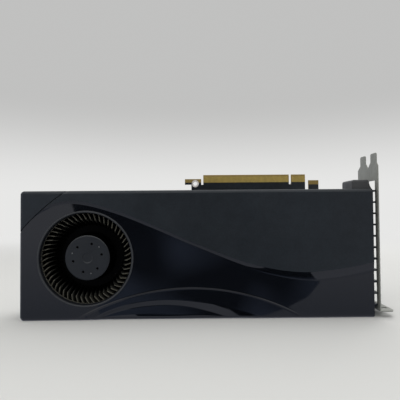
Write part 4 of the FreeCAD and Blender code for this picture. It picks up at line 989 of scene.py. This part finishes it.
def ribbon(shape, route, width):
    """A raised strip along a (u, z) route on the board's back."""
    low, top = BOARD_BACK, BOARD_BACK + TRACK_HEIGHT
    sides = []
    for index, (u, z) in enumerate(route):
        before, after = route[max(index - 1, 0)], route[min(index + 1, len(route) - 1)]
        du, dz = after[0] - before[0], after[1] - before[1]
        length = hypot(du, dz)
        nu, nz = -dz / length * width / 2, du / length * width / 2
        spots = ((1.25, low), (1, top), (-1, top), (-1.25, low))
        sides.append([(u + nu * k, d, z + nz * k) for k, d in spots])
    shape.loft(sides)


def make_traces():
    """Covered copper tracks on the back, with their vias; none crosses another."""
    rng = random.Random(7)
    cell = 0.75
    taken = set()

    def block(us, zs, grow=0.6):
        """Keeps tracks out of a rectangle."""
        for i in range(int((us[0] - grow) / cell), int((us[1] + grow) / cell) + 1):
            for j in range(int((zs[0] - grow) / cell), int((zs[1] + grow) / cell) + 1):
                taken.add((i, j))

    for us, zs in kept_clear():
        block(us, zs)
    block((GPU_U - 17, GPU_U + 17), (GPU_Z - 17, GPU_Z + 17))
    block((0, 16), (0, 26))
    tracks, vias = Shape(), Shape()

    def via(u, z):
        """A small covered ring."""
        profile = [(0.135, 0.005), (0.165, 0.045), (0.3, 0.04), (0.36, 0.0)]
        vias.turned([(r, BOARD_BACK + d) for r, d in profile], u, z, 10, closed=False)

    # Parallel lanes run from the edge contacts and close up towards the processor.
    lanes = 54
    for index in range(lanes):
        u = 139.5 + 1.5 * index
        target = GPU_U + (u - 181) * 0.42
        shift = abs(u - target)
        start = 98.6 - 0.125 * (lanes / 2 - abs(index - lanes / 2))
        end = 72.0 - (index % 3) * 1.2
        ribbon(tracks, [(u, 104.2), (u, start), (target, start - shift), (target, end)], 0.22)
        via(target, end - 0.3)
        for step in range(40):
            z = 104 - step * 0.8
            share = min(max((start - z) / max(shift, 0.01), 0.0), 1.0)
            taken.add((int((u + (target - u) * share) / cell), int(z / cell)))
    # The rest of the board is filled by walks on a grid that turn by 45 degrees.
    steps = [(1, 0), (1, 1), (0, 1), (-1, 1), (-1, 0), (-1, -1), (0, -1), (1, -1)]
    for _ in range(900):
        i, j = rng.randrange(4, int(264 / cell)), rng.randrange(3, int(95 / cell))
        if (i, j) in taken:
            continue
        heading = rng.choice((0, 0, 4, 4, 2, 6, 1, 5))
        route, walk = [(i, j)], [(i, j)]
        for _ in range(rng.randrange(2, 6)):
            for _ in range(rng.randrange(3, 22)):
                di, dj = steps[heading]
                ahead = (walk[-1][0] + di, walk[-1][1] + dj)
                open_way = 3 < ahead[0] < 263 / cell and 2 < ahead[1] < 95 / cell
                if ahead in taken or not open_way:
                    break
                if di and dj and (walk[-1][0] + di, walk[-1][1]) in taken:
                    break
                walk.append(ahead)
            if walk[-1] != route[-1]:
                route.append(walk[-1])
            heading = (heading + rng.choice((-1, 1))) % 8
        if len(walk) < 7:
            continue
        taken.update(walk)
        line = [((a + 0.5) * cell, (b + 0.5) * cell) for a, b in route]
        ribbon(tracks, line, rng.choice((0.2, 0.2, 0.28, 0.4)))
        via(*line[0])
        via(*line[-1])
    tracks.piece("board_tracks", "board_laminate", TRACE)
    vias.piece("board_vias", "board_laminate", TRACE)


def make_small_parts():
    """Further small resistors and ceramics on the back, in groups, and the outlines in ink."""
    rng = random.Random(21)
    taken = [(us[0] - 1.6, us[1] + 1.6, zs[0] - 1.6, zs[1] + 1.6) for us, zs in kept_clear()]
    taken += [(GPU_U - 31, GPU_U + 31, GPU_Z - 31, GPU_Z + 31), (0, 18, 0, 28)]
    bodies, ends = Shape(), Shape()
    groups = [
        (60, 20, 7, 3), (70, 52, 4, 5), (40, 86, 6, 2), (28, 30, 3, 4), (216, 24, 6, 3),
        (222, 62, 3, 6), (136, 84, 5, 2), (136, 12, 6, 3), (242, 80, 3, 4), (246, 20, 2, 6),
        (20, 60, 3, 3), (118, 50, 2, 7), (218, 84, 5, 2), (160, 90, 9, 1), (44, 40, 4, 3),
    ]
    top = BOARD_BACK + 0.5
    for u0, z0, across, up in groups:
        flat = rng.random() < 0.5
        half_u, half_z = (0.8, 0.42) if flat else (0.42, 0.8)
        for i in range(across):
            for j in range(up):
                if rng.random() < 0.16:
                    continue
                u, z = u0 + i * 2.7, z0 + j * 2.4
                if any(a < u < b and c < z < e for a, b, c, e in taken):
                    continue
                us, zs = (u - half_u, u + half_u), (z - half_z, z + half_z)
                bodies.box(us, (BOARD_BACK, top - 0.05), zs, int(rng.random() < 0.45))
                mid, wide = (u, zs) if flat else (z, us)
                for side in (-1, 1):
                    reach = sorted((mid + side * 0.5, mid + side * 0.86))
                    add_end(ends, flat, reach, wide, (BOARD_BACK, top))
    bodies.piece("small_parts", "capacitor_ceramic", CERAMIC, RESISTOR, rounding=0.06)
    ends.piece("small_part_ends", "tinned_metal", TIN, rounding=0.08)
    make_ink()


def make_ink():
    """Printed outlines round the packages, the screws and the processor's clamp."""
    ink = Shape()
    under, over = BOARD_BACK - 0.01, BOARD_BACK + 0.02

    def outline(us, zs, grow, half=0.08):
        """A thin frame round a part."""
        (u0, u1), (z0, z1) = (us[0] - grow, us[1] + grow), (zs[0] - grow, zs[1] + grow)
        for z in (z0, z1):
            ink.box((u0, u1), (under, over), (z - half, z + half))
        for u in (u0, u1):
            ink.box((u - half, u + half), (under, over), (z0, z1))

    for us, _, zs in islands("back_chips"):
        outline(us, zs, 1.4)
    for us, _, zs in islands("board_screws"):
        band = [(3.4, under), (3.4, over), (3.58, over), (3.58, under)]
        ink.turned(band, middle(us), middle(zs), 48)
    outline((GPU_U - 20, GPU_U + 20), (GPU_Z - 20, GPU_Z + 20), 1.0)
    for u, z in ((137, 30), (137, 50), (137, 70), (219, 30), (219, 50), (219, 70)):
        outline((u - 6, u + 6), (z - 7, z + 7), 0.4)
    finish_piece(ink.make("board_ink"), "card", "board_laminate", INK)


def make_joints():
    """Solder joints behind the board, where leaded parts come through."""
    joints = Shape()
    spots = [(4.0 + 4.2 * i, POWER_Z + 4.2 * (k - 1.5)) for i in range(2) for k in range(4)]
    u, z = centre("fan_header")
    spots += [(u + 1.3 * (k - 1.5), z) for k in range(4)]
    for us, _, zs in islands("displayport_shells") + islands("hdmi_shell"):
        mid = middle(zs)
        spots += [(us[0] + 2.5, mid + k) for k in (-5.0, 5.0)]
        spots += [(us[0] - 1.2, mid - 4.5 + k) for k in range(10)]
    cone = [(1, 0), (0.82, 0.12), (0.5, 0.45), (0.36, 0.8), (0.3, 1.0)]
    for u, z in spots:
        if z > 96 or z < 1.5 or u > 265:
            continue
        big = 1.25 if u < 10 else 0.42
        profile = [(big * r, BOARD_BACK + d * big) for r, d in cone] + [(0.001, BOARD_BACK + 1.05 * big)]
        joints.turned(profile, u, z, 16, closed=False)
    joints.piece("solder_joints", "tinned_metal", TIN, smooth=60)


# ---- stage
# The screen's place and outlines, which set where the painted reflections fall on the gloss.
SCREEN_DEPTH = 600.0
SCREEN_UPPER = [
    (-150, 330), (400, 330), (400, -75), (375, -105), (325, -130), (265, -150), (245, -160),
    (-70, -160), (-135, 100),
]
SCREEN_LOWER = [(0, -160), (405, -160), (405, -500), (320, -500), (170, -280), (0, -280)]
FLOOR_REACH, COVE, DOME = 1.0, 0.5, 1.5
ROOM_BANDS = [
    (0.0, (0.32, 0.34, 0.41)), (0.34, (0.55, 0.58, 0.68)), (0.39, (0.34, 0.37, 0.45)),
    (0.475, (0.60, 0.62, 0.70)), (0.60, (0.66, 0.68, 0.74)), (0.75, (1.0, 1.0, 1.0)),
    (1.0, (0.85, 0.85, 0.86)),
]


def studio_shader(paint):
    """A pale diffuse floor that runs into an evenly lit backdrop, brighter low down."""
    strength = paint.ramp(paint.axis("Z"), 0.14, 0.56, 0.80, 0.53)
    shine = paint.node("ShaderNodeEmission", (1.0, 1.0, 0.99), strength)
    matt = paint.node("ShaderNodeBsdfDiffuse", (0.62, 0.62, 0.605))
    flat = paint.node("ShaderNodeCombineXYZ", paint.axis("X"), paint.axis("Y"))
    reach = paint.node("ShaderNodeVectorMath", flat.outputs[0], operation="LENGTH").outputs["Value"]
    return paint.node("ShaderNodeMixShader", paint.ramp(reach, 0.35, 1.1), matt.outputs[0], shine.outputs[0])


def reflection_sheet_shader(paint):
    """A sheet seen only in the gloss, which paints its reflections there: near black at its top and foot,
    with paler blue patches between that glow.
    """
    cloud = paint.node("ShaderNodeTexNoise", Vector=paint.place, Scale=5.0, Detail=1.0).outputs["Fac"]
    strength = paint.ramp(cloud, 0.42, 0.60, 0.2, 2.4, "LINEAR")
    for limits in ((0.0, 0.07, 1.0, 0.08), (-0.24, -0.18, 0.05, 1.0)):
        strength = paint.math("MULTIPLY", strength, paint.ramp(paint.axis("Z"), *limits))
    return paint.node("ShaderNodeEmission", (0.070, 0.088, 0.135), strength)


def stage_piece(name, points, faces, look, build):
    """A mesh of the stage, its points in metres, with the shader that a function builds."""
    material = bpy.data.materials.new(look)
    material.use_nodes = True
    material.node_tree.nodes.clear()
    paint = Nodes(material.node_tree)
    paint.node("ShaderNodeOutputMaterial", build(paint).outputs[0])
    mesh = bpy.data.meshes.new(name)
    mesh.from_pydata(points, [], faces)
    mesh.materials.append(material)
    made = link(bpy.data.objects.new(name, mesh))
    return made


def make_stage():
    """Floor and backdrop in one all-round cove, and the dark screen before the card, which is seen only in
    the gloss and paints reflections there.
    """
    turns = [radians(9 * k) for k in range(1, 11)]
    profile = [(r, 0.0) for r in (0.0005, 0.25, 0.5, 0.8, FLOOR_REACH)]
    profile += [(FLOOR_REACH + COVE * sin(a), COVE - COVE * cos(a)) for a in turns]
    profile += [(DOME * cos(a), COVE + DOME * sin(a)) for a in turns[:-1]]
    profile.append((0.0005, COVE + DOME))
    studio = stage_piece("studio", *revolve(profile, 72, False), "studio_paint", studio_shader)
    studio.data.shade_smooth()
    studio.visible_glossy = False
    # The screen is painted reflection: it glows and shows only in glossy rays.
    corners = [place(u, -SCREEN_DEPTH, z) for u, z in SCREEN_UPPER + SCREEN_LOWER]
    sheets = [tuple(range(len(SCREEN_UPPER))), tuple(range(len(SCREEN_UPPER), len(corners)))]
    screen = stage_piece("reflection_screen", corners, sheets, "painted_reflection", reflection_sheet_shader)
    screen.visible_camera = screen.visible_diffuse = screen.visible_shadow = False


def area_light(name, spot, size, power):
    """A soft square light at a spot in metres, aimed at the middle of the card."""
    light = bpy.data.lights.new(name, "AREA")
    light.shape, light.size, light.energy = "SQUARE", size, power
    made = link(bpy.data.objects.new(name, light))
    made.location = spot
    made.rotation_euler = (Vector((0, 0, 0.05)) - Vector(spot)).to_track_quat("-Z", "Y").to_euler()
    made.visible_camera = made.visible_glossy = False


def make_lights():
    """Soft light from the front, above and behind, in a room that is paler towards its top."""
    area_light("key", (-0.35, -0.75, 0.85), 0.8, 4.6)
    area_light("top", (0.1, 0.1, 1.3), 0.9, 6.0)
    area_light("back", (0.4, 0.8, 0.7), 0.8, 4.0)
    world = bpy.data.worlds.new("room")
    world.use_nodes = True
    room = Nodes(world.node_tree)
    up = room.ramp(room.axis("Z", room.places["Generated"]), -1.0, 1.0, kind="LINEAR")
    bands = room.node("ShaderNodeValToRGB", up)
    stops = bands.color_ramp.elements
    for index, (at, color) in enumerate(ROOM_BANDS):
        stop = stops[index] if index < 2 else stops.new(at)
        stop.position, stop.color = at, (*color, 1)
    room.feed(room.tree.nodes["Background"].inputs["Color"], bands.outputs[0])
    bpy.context.scene.world = world
    bpy.context.scene.view_settings.view_transform = "Standard"


def make_camera():
    """The camera at the photograph's viewing angle."""
    data = bpy.data.cameras.new("camera")
    data.sensor_width, data.lens = 36.0, 38.17
    data.clip_start, data.clip_end = 0.01, 10.0
    made = link(bpy.data.objects.new("camera", data))
    pose = Matrix.Translation(place(131.56, -318.65, 80.52))
    for angle, axis in ((-0.0116, "Z"), (0.0277, "X"), (0.0082, "Y"), (pi / 2, "X")):
        pose = pose @ Matrix.Rotation(angle, 4, axis)
    made.matrix_world = pose
    bpy.context.scene.camera = made


# ---- everything
dress_nodes()
make_shroud()
make_intake_rim()
make_hump()
make_shroud_trim()
make_impeller()
make_capacitors()
make_back_chips()
make_traces()
make_small_parts()
make_joints()
make_stage()
make_lights()
make_camera()

bpy.context.view_layer.update()
